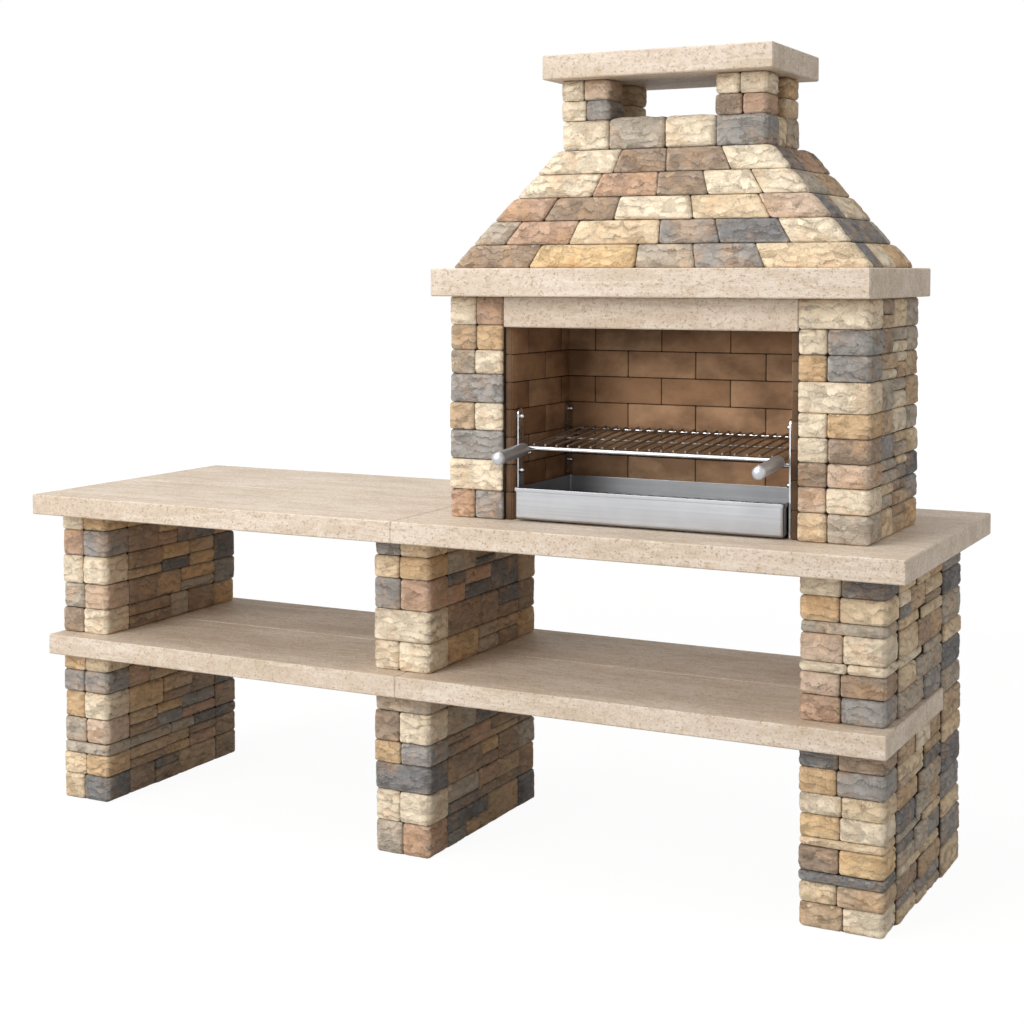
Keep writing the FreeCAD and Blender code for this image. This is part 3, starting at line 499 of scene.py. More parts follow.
# %% [markdown]
# ## Fitting a stone
# The fit is worked out for all points of a block at once: first into a plain box with rounded edges, then
# into the eight corners of the cell, which may lean, as on the hood. Faces on show swell a little, and
# some stones stand back, as hand-laid ones do. A bevel modifier would round the edges too, but only a grid
# leaves points to carve.

# %% Fit a block into a cell
PILLOW = 0.0015
EDGE_REACH = 0.016
LARGEST_RADIUS = 0.36
ON_EDGE = 1e-4
NEARLY_ZERO = 1e-9
# How stones are laid: finish, slot, ranges of edge radius and set-back, depth of the relief, grid step.
Laying = namedtuple("Laying", "finish slot radius recess relief step")


def spread(grid, counts, lengths, radius):
    """The rows of a block in a plain box: close together along its edges, and even in between."""
    place = np.empty_like(grid)
    for axis, count in enumerate(counts):
        step = np.round(grid[:, axis] * count)
        inner = count - 2 * EDGE_ROWS
        edge_steps = np.minimum(step, EDGE_ROWS) + np.maximum(step - count + EDGE_ROWS, 0)
        inner_steps = np.clip(step - EDGE_ROWS, 0, inner)
        between = lengths[axis] - 2 * radius
        place[:, axis] = edge_steps / EDGE_ROWS * radius + inner_steps / inner * between
    return place


def rounded_off(place, lengths, radius, shown):
    """The outer rows of the faces on show, moved onto a round edge."""
    core = np.clip(place, radius, lengths - radius)
    excess = place - core
    rounded = np.zeros(len(place), bool)
    for side in sorted(shown):
        axis, end = SIDES[side]
        rounded |= excess[:, axis] * (1 if end else -1) > radius * ON_EDGE
    reach = np.linalg.norm(excess, axis=1)
    turned = core + excess * (radius / np.maximum(reach, NEARLY_ZERO))[:, None]
    return np.where(rounded[:, None], turned, place)


def behind_faces(place, lengths, radius, shown):
    """How far each point lies behind the faces on show, in radii and at most 1."""
    depth = np.full(len(place), radius)
    for side in sorted(shown):
        axis, end = SIDES[side]
        depth = np.minimum(depth, lengths[axis] - place[:, axis] if end else place[:, axis])
    return depth / radius


def fitted(block, counts, cell, radius, recess):
    """Places of the block's points, how far each lies behind the faces on show, and from an edge."""
    grid = np.empty(len(block.data.vertices) * 3)
    block.data.vertices.foreach_get("co", grid)
    lengths = cell.lengths()
    place = spread(grid.reshape(-1, 3), counts, lengths, radius)
    place = rounded_off(place, lengths, radius, cell.shown)
    set_back = behind_faces(place, lengths, radius, cell.shown)
    inset = np.sort(np.minimum(place, lengths - place), axis=1)[:, 1] / EDGE_REACH
    share = place / lengths
    swell = 1 - (2 * share - 1) ** 4
    for side in sorted(cell.shown):
        axis, end = SIDES[side]
        towards = share[:, axis] if end else share[:, axis] - 1
        others = [other for other in range(3) if other != axis]
        place[:, axis] += towards * (PILLOW * swell[:, others].prod(axis=1) - recess)
    share = place / lengths
    x, y, z = (np.stack([1 - share[:, axis], share[:, axis]]) for axis in range(3))
    return np.einsum("in,jn,kn,ijkc->nc", x, y, z, cell.corners), set_back, np.clip(inset, 0, 1)


def store_points(mesh, name, values):
    mesh.attributes.new(name, "FLOAT", "POINT").data.foreach_set("value", values)


def read_points(mesh, name):
    values = np.empty(len(mesh.vertices))
    mesh.attributes[name].data.foreach_get("value", values)
    return values


def rough_stone(name, cell, laying):
    """One stone: a copy of the block, fitted, with its tone and depth stored on the mesh."""
    lengths = cell.lengths()
    radius = min(chance.uniform(*laying.radius), lengths.min() * LARGEST_RADIUS)
    recess = chance.uniform(*laying.recess)
    counts = tuple(2 * EDGE_ROWS + max(2, round((length - 2 * radius) / laying.step)) for length in lengths)
    block = scored_block(counts)
    places, set_back, inset = fitted(block, counts, cell, radius, recess)
    stone = bpy.data.objects.new(name, block.data.copy())
    bpy.context.collection.objects.link(stone)
    mesh = stone.data
    mesh.vertices.foreach_set("co", places.ravel())
    tones = np.tile(PALETTE[cell.tone], len(mesh.vertices))
    mesh.attributes.new("tone", "FLOAT_COLOR", "POINT").data.foreach_set("color", tones)
    store_points(mesh, "set_back", set_back)
    store_points(mesh, "inset", inset)
    store_points(mesh, "own", np.full(len(mesh.vertices), chance.random()))
    return stone


print(f"fit: faces swell by {PILLOW * 1000} mm")

# %% [markdown]
# ## Carving the faces
# A split face is broken in ledges along the beds, and in small chips across them. Both become one weight
# for each point: the height within a bed, bent by noise so that the ledges wander, and the height on the
# tilted plane of a chip. A Displace modifier raises the points by that weight, which fades towards the
# edges, because a mason keeps those straight to lay the stones close.

# %% Carve the faces of a wall
BED_HEIGHT = 0.024
BED_SHIFT = 7
BEND_SCALES = ((13, 0.9), (42, 0.55))
PATCH_SCALE = 24
MIDDLE_RELIEF = 0.5
RELIEF_SPREAD = 1.2
LEAST_RELIEF = 0.1
CHIP_SCALE = Vector((26, 26, 44))
CHIP_TILT = 7.3
HIDDEN_FROM = 0.99
FACE_START = 1.05
FACE_FADE = 1.5
FACE_LEVEL = 0.8
LEDGE_DROP = 0.6
CHIP_RISE = 0.5
EDGE_SHARE = 0.3
WEIGHT_LEVELS = 40


def bedding(mesh):
    """Each point's height in beds, how strongly the stone is broken there, and its height on a chip."""
    beds, relief, chips = np.zeros((3, len(mesh.vertices)))
    hidden = read_points(mesh, "set_back") > HIDDEN_FROM
    for vertex, own in zip(mesh.vertices, read_points(mesh, "own")):
        if hidden[vertex.index]:
            continue
        place = vertex.co + Vector(OWN_SHIFT) * own
        bend = sum(size * fractal.noise(place * scale) for scale, size in BEND_SCALES)
        beds[vertex.index] = vertex.co.z / BED_HEIGHT + BED_SHIFT * own + bend
        relief[vertex.index] = MIDDLE_RELIEF + RELIEF_SPREAD * fractal.noise(place * PATCH_SCALE)
        spot = place * CHIP_SCALE
        middle = fractal.voronoi(spot)[1][0]
        chips[vertex.index] = (spot - middle).dot(fractal.noise_vector(middle * CHIP_TILT))
    return beds, np.clip(relief, LEAST_RELIEF, 1), chips


def apply_modifier(piece, kind, **settings):
    bpy.context.view_layer.objects.active = piece
    modifier = piece.modifiers.new(kind.lower(), kind)
    for name, setting in settings.items():
        setattr(modifier, name, setting)
    bpy.ops.object.modifier_apply(modifier=modifier.name)


def carve(piece, depth):
    """Raise the ledges and chips of the faces on show."""
    mesh = piece.data
    beds, relief, chips = bedding(mesh)
    store_points(mesh, "beds", beds)
    store_points(mesh, "relief", relief)
    on_show = np.clip(FACE_START - FACE_FADE * read_points(mesh, "set_back"), 0, 1)
    on_show *= EDGE_SHARE + (1 - EDGE_SHARE) * read_points(mesh, "inset")
    weight = on_show * np.clip(FACE_LEVEL - LEDGE_DROP * relief * (beds % 1) + CHIP_RISE * chips, 0, 1)
    group = piece.vertex_groups.new(name="ledges")
    levels = np.round(weight * WEIGHT_LEVELS).astype(int)
    for level in range(1, WEIGHT_LEVELS + 1):
        group.add(np.flatnonzero(levels == level).tolist(), level / WEIGHT_LEVELS, "REPLACE")
    apply_modifier(piece, "DISPLACE", vertex_group="ledges", mid_level=0.0, strength=depth)
    piece.vertex_groups.clear()


def select(pieces):
    """Select some pieces; the first is the active one, into which the others can be joined."""
    bpy.ops.object.select_all(action="DESELECT")
    for piece in pieces:
        piece.select_set(True)
    bpy.context.view_layer.objects.active = pieces[0]


def lay(node, cells, laying):
    """All stones of a node as one piece, which stands for that node."""
    select([rough_stone(f"{node}_{number}", cell, laying) for number, cell in enumerate(cells)])
    bpy.ops.object.join()
    piece = bpy.context.object
    piece.name = f"{node}_stones"
    carve(piece, laying.relief)
    bpy.ops.object.shade_smooth()
    piece.data.materials.append(laying.finish)
    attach(piece, "masonry")
    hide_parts(node)
    print(f"{piece.name}: {len(cells)} stones, {len(piece.data.polygons)} faces")


print(f"carving: beds {BED_HEIGHT * 1000:.0f} mm high")

# %% [markdown]
# ## The piers, jambs and chimney
# The tones of the front stones are read off the barbecue course by course, from the top down. The long
# stones of the side faces are broken up further, some into two thin layers, as masons fill a wall with
# what is at hand. Chance chooses their tones; the sides that look into a bay take darker ones, as painted
# shade.

# %% Choose the tones
FRONT_TONES = {
    "upper_left_pier": "cream ochre / rust grey / cream cream / greige pink / umber cream",
    "lower_left_pier": "ochre sand / grey grey / ochre cream / greige pink / greige / sand ochre / "
                       "sand slate",
    "upper_middle_pier": "grey sand / sand ochre / grey rust / cream / cream cream",
    "lower_middle_pier": "greige / umber cream / ochre grey / slate / cream cream / greige rust",
    "upper_right_pier": "cream slate / ochre sand / greige / pink cream / cream cream / pink umber / "
                        "rust grey",
    "lower_right_pier": "slate umber / ochre grey / cream sand / gold cream / sand / umber gold / slate / "
                        "sand tan / tan cream",
    "left_jamb": "cream rust / tan ochre / greige cream / grey / tan cream / grey / cream / rust grey",
    "right_jamb": "cream / cream grey / ochre grey / cream / cream ochre / cream umber / umber pink / "
                  "pink cream / sand greige",
    "chimney_collar": "cream greige cream grey",
    "chimney_post_front_left": "cream pink / cream grey",
    "chimney_post_front_right": "cream cream / umber rust",
    "hood_course_1": "umber gold greige grey sand",
    "hood_course_2": "greige rust sand grey slate cream",
    "hood_course_3": "rust umber cream sand pink",
    "hood_course_4": "cream rust umber cream cream",
    "hood_course_5": "cream umber umber cream",
}
HOOD_COURSES = [f"hood_course_{number}" for number in range(1, 6)]
HOOD_SIDES = ("slate cream", "slate slate", "slate cream", "greige tan", "slate rust")
HOOD_SIDE_TONES = dict(zip(HOOD_COURSES, HOOD_SIDES))
SIDE_TONES = "cream cream sand sand sand tan tan tan ochre greige greige greige umber grey slate".split()
# Darker tones, painted shade for the sides of the piers that look into a bay.
PAINTED_SHADE_TONES = "tan tan greige umber umber umber rust ochre grey slate slate".split()
SHADED_PIERS = ("left_pier", "middle_pier")
SIDE_STONE_LENGTH = 0.14
JOINT_DRIFT = 0.22
LAYERED_SHARE = 0.55
LAYER_SPLIT = (0.36, 0.64)
LEAST_LAYERED_HEIGHT = 0.055


def give_tones(node, cells):
    """Front stones take the listed tones, from the top left; the others take a side tone by chance."""
    front = [cell for cell in cells if "front" in cell.shown]
    front.sort(key=lambda cell: (-round(cell.middle()[2], 3), cell.middle()[0]))
    right = [cell for cell in cells if "right" in cell.shown and cell not in front]
    right.sort(key=lambda cell: cell.middle()[1])
    for cell in cells:
        # Painted shade: the bay sides of the left and middle piers take darker tones.
        cell.tone = chance.choice(PAINTED_SHADE_TONES if node.endswith(SHADED_PIERS) else SIDE_TONES)
    listed = FRONT_TONES.get(node, "").replace("/", " ").split()
    for cell, tone in [*zip(front, listed), *zip(right, HOOD_SIDE_TONES.get(node, "").split())]:
        cell.tone = tone


def broken_up(cells):
    """Break long stones of the side faces into shorter ones, and some of those into two layers."""
    found = []
    for cell in cells:
        if cell.shown & {"front", "back"} or not cell.shown:
            found.append(cell)
            continue
        count = max(1, round(cell.lengths()[1] / SIDE_STONE_LENGTH))
        shares = [(step + chance.uniform(-JOINT_DRIFT, JOINT_DRIFT)) / count for step in range(1, count)]
        for short in cell.split(1, shares):
            tall = short.lengths()[2] > LEAST_LAYERED_HEIGHT
            if tall and chance.random() < LAYERED_SHARE:
                found += short.split(2, [chance.uniform(*LAYER_SPLIT)])
            else:
                found.append(short)
    return found


print("tones:", len(FRONT_TONES), "fronts listed")

# %% Lay the walls
JAMB_TOP_SHARE = 0.5
ALL_ROUND = ("left", "right", "front", "back")
STOREYS = ("upper", "lower")
POSTS = ("front_left", "front_right", "back_left", "back_right")
WALL_SIDES = {f"{storey}_{place}_pier": ALL_ROUND for place in ("left", "middle") for storey in STOREYS}
WALL_SIDES |= {f"{storey}_right_pier": ("left", "right", "front") for storey in STOREYS}
WALL_SIDES |= {
    "right_pier_tail": ("left", "right", "back"),
    "left_jamb": ("left", "front", "back"),
    "right_jamb": ("right", "front", "back"),
    "back_wall": ("back",),
    "chimney_collar": (*ALL_ROUND, "top"),
}
WALL_SIDES |= {f"chimney_post_{post}": ALL_ROUND for post in POSTS}
STONEWORK = Laying(split_stone, "split_stone", radius=(0.0065, 0.0095), recess=(0.0, 0.004), relief=0.0075,
                   step=0.0066)

for node, open_sides in WALL_SIDES.items():
    cells = broken_up(box_cells(node, open_sides))
    if node == "left_jamb":
        top = max((cell for cell in cells if "front" in cell.shown), key=lambda cell: cell.middle()[2])
        cells.remove(top)
        cells += top.split(0, [JAMB_TOP_SHARE])
    give_tones(node, cells)
    lay(node, cells, STONEWORK)

# %% [markdown]
# ## The hood
# The hood's stones lean with its four faces and lap at the hips. Turned upright blocks would leave gaps
# there, so each stone gets a leaning cell. Its inner corners are still sharp in the frame; the outer faces
# are found from the panels behind the stones, which lie parallel to them.

# %% Lay the hood
HIP_REACH = 0.02
HOODWORK = STONEWORK._replace(relief=0.0065)


def hood_faces():
    """For each outer face of the hood, its slope and its place at height 0."""
    panels = np.concatenate(solids_of("hood_panels"))
    stones = np.concatenate([points for node in HOOD_COURSES for points in solids_of(node)])
    low, high = panels[:, 2].min(), panels[:, 2].max()
    foot = panels[panels[:, 2] < low + FLUSH]
    crown = panels[panels[:, 2] > high - FLUSH]
    faces = {}
    for side in ALL_ROUND:
        axis, end = SIDES[side]
        pick = np.max if end else np.min
        slope = (pick(crown[:, axis]) - pick(foot[:, axis])) / (high - low)
        faces[side] = (slope, pick(stones[:, axis] - slope * stones[:, 2]))
    return faces


HOOD_FACES = hood_faces()


def hood_at(side, z):
    slope, start = HOOD_FACES[side]
    return start + slope * z


def hood_cell(points):
    """The leaning cell of one hood stone."""
    centre = points.mean(axis=0)
    side = min(HOOD_FACES, key=lambda name: abs(centre[SIDES[name][0]] - hood_at(name, centre[2])))
    across, end = SIDES[side]
    along = 1 - across
    low_end, high_end = [name for name in HOOD_FACES if SIDES[name][0] == along]
    corners = np.empty((2, 2, 2, 3))
    shown = {side}
    for k, z in enumerate((points[:, 2].min(), points[:, 2].max())):
        ring = points[np.abs(points[:, 2] - z) < FLUSH]
        inner = ring[:, across].min() if end else ring[:, across].max()
        thick = (inner, hood_at(side, z)) if end else (hood_at(side, z), inner)
        ends = [ring[:, along].min(), ring[:, along].max()]
        for number, hip in enumerate((low_end, high_end)):
            if across == 1 and abs(ends[number] - hood_at(hip, z)) < HIP_REACH:
                ends[number] = hood_at(hip, z)
                shown.add(hip)
        spans = {across: thick, along: ends}
        corners[:, :, k] = [[(x, y, z) for y in spans[1]] for x in spans[0]]
    return Cell(corners, shown)


for node in HOOD_COURSES:
    cells = [hood_cell(points) for points in solids_of(node)]
    give_tones(node, cells)
    if node == HOOD_COURSES[-1]:
        for cell in cells:
            if "back" in cell.shown:
                cell.shown.add("top")
    lay(node, cells, HOODWORK)

# %% [markdown]
# ## The firebrick lining
# Firebricks are pressed and fired, so they are far more regular than split stone: the same block and fit,
# with a small radius, hardly any relief, and tones close to each other. Smoke stains the back in clouds,
# and painted shade darkens the ends of the side bricks, which face the front.

# %% Lay the firebricks
PALETTE["brick_light"] = srgb(206, 168, 133)
PALETTE["brick"] = srgb(194, 154, 119)
PALETTE["brick_dark"] = srgb(176, 136, 102)
BRICK_TONES = ("brick_light", "brick", "brick", "brick_dark")
BRICK_SCORCH = srgb(98, 70, 49)
BRICK_GAP_SHADE = srgb(30, 22, 17)
BRICK_END_SHADE = srgb(44, 33, 26)
SIDE_END_SHADE = 0.72
BRICK_SIDES = {
    "left_firebrick_lining": ("right", "front"),
    "right_firebrick_lining": ("left", "front"),
    "back_firebrick_lining": ("front",),
}


def make_firebrick(name, end_shade):
    """Fired clay; painted shade darkens the ends of the bricks that face the front."""
    finish, shader, wire = new_finish(name, Roughness=0.9, Specular_IOR_Level=0.2)
    place = own_place(wire)
    tone = wire.add("Attribute", {"attribute_name": "tone"})
    cloud = noise(wire, place, 16, detail=5, roughness=0.6)
    stain = noise(wire, object_place(wire), 5, detail=4, roughness=0.6, stretch=(1, 1, 1.6))
    speck = noise(wire, place, 300, detail=3)
    toned = multiply(wire, tone, 0.6 + cloud * 0.5 + speck * 0.3)
    burnt = (stain.ramp((0.4, 0), (0.62, 1)) * 0.62).mix(toned, BRICK_SCORCH)
    # Painted shade in the gaps between bricks, darker where a point lies behind the face.
    joint = attribute(wire, "set_back").ramp((0.1, 0), (0.6, 1)) * 0.97
    facing = wire.add("SeparateXYZ", None, {0: wire.add("TexCoord", output=1)}, output=1)
    # Painted shade: the ends of the bricks that face the front are darkened.
    end_shaded = (0 - facing).ramp((0.5, 0), (0.8, 1)) * end_shade
    feed(shader, "Base Color", end_shaded.mix(joint.mix(burnt, BRICK_GAP_SHADE), BRICK_END_SHADE))
    feed(shader, "Normal", (speck + cloud * 0.5).bump(0.0015, 0.5))
    return finish


back_brickwork = Laying(make_firebrick("firebrick", 0.0), "firebrick", radius=(0.0036, 0.0044),
                        recess=(0.0, 0.0008), relief=0.0004, step=0.022)
side_brickwork = back_brickwork._replace(finish=make_firebrick("firebrick_sides", SIDE_END_SHADE))
for node, open_sides in BRICK_SIDES.items():
    cells = box_cells(node, open_sides)
    for cell in cells:
        cell.tone = chance.choice(BRICK_TONES)
    lay(node, cells, back_brickwork if node.startswith("back") else side_brickwork)

for block in BLOCKS.values():
    bpy.data.objects.remove(block)
print("blocks removed:", len(BLOCKS))

# %% [markdown]
# ## Limestone slabs
# The slabs are honed limestone: beige, with brown flecks that lie along the bed, fine pits and a soft
# mottling. A picture of stone would repeat, so the pattern is summed from noises of several sizes. The
# slabs' shape in the frame is right, so the nodes stay and get the finish.

# %% Finish the slabs
SLAB_SHADE = srgb(209, 191, 170)
SLAB_LIGHT = srgb(230, 215, 199)
SLAB_MOTTLE = srgb(196, 171, 141)
SLAB_VEIN = srgb(240, 229, 214)
SLAB_STAIN = srgb(196, 154, 108)
SLAB_FLECK = srgb(156, 119, 78)
SLAB_PIT = srgb(140, 105, 70)
SLOT_OF = {part["node"]: part["material_slot"] for part in frame["record"]["subparts"]}


def make_limestone():
    finish, shader, wire = new_finish("limestone", Specular_IOR_Level=0.3)
    place = object_place(wire)
    cloud = noise(wire, place, 7, detail=5, roughness=0.62, stretch=(0.45, 1, 1.4))
    mottle = noise(wire, place, 60, detail=5, roughness=0.72, stretch=(0.8, 1, 1.1))
    fleck = noise(wire, place, 150, detail=3, roughness=0.6, stretch=(0.85, 0.9, 1.15))
    stain = noise(wire, place, 24, detail=4, roughness=0.6, stretch=(0.7, 1, 1.3))
    pit = noise(wire, place, 330, detail=2)
    vein = noise(wire, place, 8, detail=6, roughness=0.68, stretch=(0.22, 1.8, 1.6))
    base = cloud.ramp((0.34, 0), (0.66, 1)).mix(SLAB_SHADE, SLAB_LIGHT)
    mottled = (mottle.ramp((0.44, 0), (0.66, 1)) * 0.55).mix(base, SLAB_MOTTLE)
    veined = (vein.ramp((0.49, 0), (0.53, 1), (0.57, 0)) * 0.45).mix(mottled, SLAB_VEIN)
    stained = (stain.ramp((0.62, 0), (0.76, 1)) * 0.34).mix(veined, SLAB_STAIN)
    flecked = (fleck.ramp((0.57, 0), (0.66, 1)) * 0.55).mix(stained, SLAB_FLECK)
    pitted = (pit.ramp((0.6, 0), (0.7, 1)) * 0.45).mix(flecked, SLAB_PIT)
    feed(shader, "Base Color", pitted)
    feed(shader, "Roughness", 0.48 + mottle * 0.24)
    height = 1 - pit.ramp((0.6, 0), (0.72, 1)) * 0.6 - fleck.ramp((0.57, 0), (0.68, 1)) * 0.5
    feed(shader, "Normal", height.bump(0.0012, 0.6))
    return finish


def dress(slot, finish):
    """Give the CAD nodes of a slot their finish."""
    nodes = [node for node, other in SLOT_OF.items() if other == slot]
    for node in nodes:
        mesh = frame["nodes"][node].data
        mesh.materials.clear()
        mesh.materials.append(finish)
    print(f"{slot}: {len(nodes)} nodes")


dress("limestone", make_limestone())


# %% [markdown]
# ## Metal and refractory
# Sheet, bar and cast iron differ in colour and in how their gloss breaks up: brushing along the sheet,
# heat tint on the rods, scale on the grate. One function makes them all, because only its numbers differ.
# The panels inside the hood are cast refractory, which is dull and cloudy.

# %% Mix the metal finishes
def make_metal(name, colour, dark, scale, stretch, rough, spread, depth, purity=1.0):
    """A metal whose colour and roughness follow one stretched noise; a film of oxide makes it less pure."""
    finish, shader, wire = new_finish(name, Metallic=purity)
    place = object_place(wire)
    brushed = noise(wire, place, scale, detail=4, stretch=stretch)
    cloud = noise(wire, place, 9, detail=3)
    feed(shader, "Base Color", (brushed * 0.5 + cloud * 0.5).ramp((0.3, 0), (0.7, 1)).mix(dark, colour))
    feed(shader, "Roughness", rough + (brushed - 0.5) * spread)
    feed(shader, "Normal", brushed.bump(depth, 0.4))
    return finish


def make_refractory():
    finish, shader, wire = new_finish("refractory", Roughness=0.95)
    cloud = noise(wire, object_place(wire), 26, detail=4)
    shade = cloud.ramp((0.3, 0), (0.7, 1))
    feed(shader, "Base Color", shade.mix(srgb(120, 108, 96), srgb(168, 154, 138)))
    feed(shader, "Normal", cloud.bump(0.003, 0.5))
    return finish


METAL_LOOKS = {
    "stainless_sheet": dict(colour=srgb(178, 179, 181), dark=srgb(156, 157, 160), scale=40,
                            stretch=(0.05, 1, 6), rough=0.34, spread=0.08, depth=0.0001),
    "bright_steel": dict(colour=srgb(212, 212, 214), dark=srgb(172, 172, 174), scale=60,
                         stretch=(1, 1, 1), rough=0.26, spread=0.14, depth=0.0002),
    "grill_rod_steel": dict(colour=srgb(176, 160, 142), dark=srgb(124, 106, 90), scale=45,
                            stretch=(1, 0.3, 1), rough=0.55, spread=0.2, depth=0.0004, purity=0.6),
    "grate_iron": dict(colour=srgb(92, 86, 80), dark=srgb(48, 43, 40), scale=70,
                       stretch=(1, 1, 1), rough=0.62, spread=0.3, depth=0.0012),
    "grip_aluminium": dict(colour=srgb(204, 205, 207), dark=srgb(176, 177, 180), scale=60,
                           stretch=(6, 0.15, 6), rough=0.38, spread=0.1, depth=0.0002, purity=0.7),
}
METALS = {name: make_metal(name, **looks) for name, looks in METAL_LOOKS.items()}
for slot, finish in METALS.items():
    dress(slot, finish)
dress("refractory", make_refractory())

# %% [markdown]
# ## Round metalwork
# Grips, studs and rods are turned or drawn, so they are round about an axis. Start with a disc and extrude
# it through a list of heights and radii, as a lathe follows a profile. Each kind is made once, along Z;
# copies, each with a mesh of its own, are turned and set in the places that the frame gives.

# %% Turn a pattern and set its copies
TOWARDS = {
    "+x": (0, math.pi / 2, 0),
    "-x": (0, -math.pi / 2, 0),
    "+y": (-math.pi / 2, 0, 0),
    "-y": (math.pi / 2, 0, 0),
}
SMOOTH_ANGLE = math.radians(35)
DOME_TURN = math.radians(84)


def turned(profile, sides):
    """A round pattern along Z: a disc extruded through (height, radius) pairs."""
    height, radius = profile[0]
    bpy.ops.object.select_all(action="DESELECT")
    bpy.ops.mesh.primitive_circle_add(vertices=sides, radius=radius, fill_type="NGON",
                                      location=(0, 0, height))
    pattern = bpy.context.object
    bpy.ops.object.transform_apply()
    bpy.ops.object.mode_set(mode="EDIT")
    bpy.ops.mesh.select_all(action="SELECT")
    for next_height, next_radius in profile[1:]:
        bpy.ops.mesh.extrude_region_move(TRANSFORM_OT_translate={"value": (0, 0, next_height - height)})
        grow = next_radius / radius
        bpy.ops.transform.resize(value=(grow, grow, 1), center_override=(0, 0, next_height))
        height, radius = next_height, next_radius
    bpy.ops.mesh.select_all(action="SELECT")
    bpy.ops.mesh.normals_make_consistent(inside=False)
    bpy.ops.object.mode_set(mode="OBJECT")
    bpy.ops.object.shade_smooth_by_angle(angle=SMOOTH_ANGLE)
    return pattern


def domed(start, end, radius, steps=4):
    """The last part of a profile: a dome between two heights."""
    turns = [DOME_TURN * step / steps for step in range(steps + 1)]
    return [(start + (end - start) * math.sin(turn), radius * math.cos(turn)) for turn in turns]


def copies(pattern, places):
    """Copies of a pattern, one for each place and turn, joined into one piece at the origin."""
    made = []
    for place, turn in places:
        copy = pattern.copy()
        copy.data = pattern.data.copy()
        copy.location = place
        copy.rotation_euler = turn
        bpy.context.collection.objects.link(copy)
        made.append(copy)
    bpy.data.objects.remove(pattern)
    select(made)
    bpy.ops.object.transform_apply()
    if len(made) > 1:
        bpy.ops.object.join()
    return bpy.context.object


def hand_over(piece, name, slot, body, *nodes):
    """Name and finish a metal piece and let it stand for its nodes."""
    piece.name = name
    piece.data.materials.clear()
    piece.data.materials.append(METALS[slot])
    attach(piece, body)
    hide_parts(*nodes)
    print(f"{name}: {len(piece.data.polygons)} faces for {', '.join(nodes)}")


def boxes_of(node, slope=0.0):
    """The box of each solid of a node, in a frame that is turned up by a slope about the X axis."""
    across, up = (0, math.cos(slope), math.sin(slope)), (0, -math.sin(slope), math.cos(slope))
    turn = np.array([(1, 0, 0), across, up]).T
    level = [points @ turn for points in solids_of(node)]
    return [(points.min(axis=0), points.max(axis=0)) for points in level]


print("lathe: patterns turn towards", ", ".join(TOWARDS))

# %% [markdown]
# ## Studs, spacers and pins
# The uprights hang on studs in the firebricks, held off by spacer discs, and pins on them carry the grill.
# All three are short lathe work on the two side walls, so one helper finds the wall's end of each.

# %% Set the studs, spacers and pins
STUD_SIDES = 24
HEARTH_MIDDLE = sum(corner.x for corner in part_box("mantel")) / 2
HEAD_LENGTH = 0.011
HEAD_RADIUS = 0.0066
HEAD_EDGE = 0.4
SHANK_RADIUS = 0.0035
DISC_FACE = 0.9
DISC_EASE = 0.15
PIN_WIDTH = 0.95
PIN_SHANK = 0.85


def into_hearth(boxes):
    """For pieces on the side walls: the end at the wall, and the way into the hearth."""
    places = []
    for low, high in boxes:
        middle = (low + high) / 2
        on_left = middle[0] < HEARTH_MIDDLE
        wall = (low if on_left else high)[0]
        places.append(((wall, middle[1], middle[2]), TOWARDS["+x" if on_left else "-x"]))
    return places


def set_on_walls(name, node, boxes, profile):
    piece = copies(turned(profile, STUD_SIDES), into_hearth(boxes))
    hand_over(piece, name, "bright_steel", "masonry", node)


def make_studs():
    boxes = boxes_of("wall_pegs")
    length = boxes[0][1][0] - boxes[0][0][0]
    neck = length - HEAD_LENGTH
    profile = [(0, SHANK_RADIUS), (neck, SHANK_RADIUS), (neck, HEAD_RADIUS)]
    profile += domed(neck + HEAD_LENGTH * HEAD_EDGE, length, HEAD_RADIUS)
    set_on_walls("wall_studs", "wall_pegs", boxes, profile)


def make_spacers():
    boxes = boxes_of("peg_spacers")
    low, high = boxes[0]
    length, radius = high[0] - low[0], (high[1] - low[1]) / 2
    profile = [(0, radius * DISC_FACE), (length * DISC_EASE, radius), (length * (1 - DISC_EASE), radius),
               (length, radius * DISC_FACE)]
    set_on_walls("spacer_discs", "peg_spacers", boxes, profile)


def make_pins():
    boxes = boxes_of("grill_pins")
    low, high = boxes[0]
    length, radius = high[0] - low[0], (high[2] - low[2]) / 2 * PIN_WIDTH
    profile = [(0, radius)] + domed(length * PIN_SHANK, length, radius)
    set_on_walls("round_grill_pins", "grill_pins", boxes, profile)


make_studs()
make_spacers()
make_pins()

# %% [markdown]
# ## The grill
# The grill is a welded frame with rods from front to back, and it slopes to the front, so that fat runs
# off. It is simplest to build level: its places are measured in axes that slope with it, and each finished
# piece is turned by that slope. The slope comes from the axis along which the grill slides.

# %% Draw the rods and cross bars
ROD_SIDES = 10
BAR_SIDES = 16
ROD_END = 0.0012
EASED_END = 0.7
GRILL_AXIS = next(joint["axis"] for joint in frame["joints"] if joint["name"] == "grill_slide")
GRILL_SLOPE = math.atan2(-GRILL_AXIS[2], -GRILL_AXIS[1])


def sloped(piece):
    """Turn a finished piece up by the grill's slope about the X axis."""
    piece.rotation_euler.x = GRILL_SLOPE
    bpy.ops.object.transform_apply()
    return piece


def drawn(length, radius, sides):
    """A round bar with slightly eased ends."""
    eased = radius * EASED_END
    return turned([(0, eased), (ROD_END, radius), (length - ROD_END, radius), (length, eased)], sides)


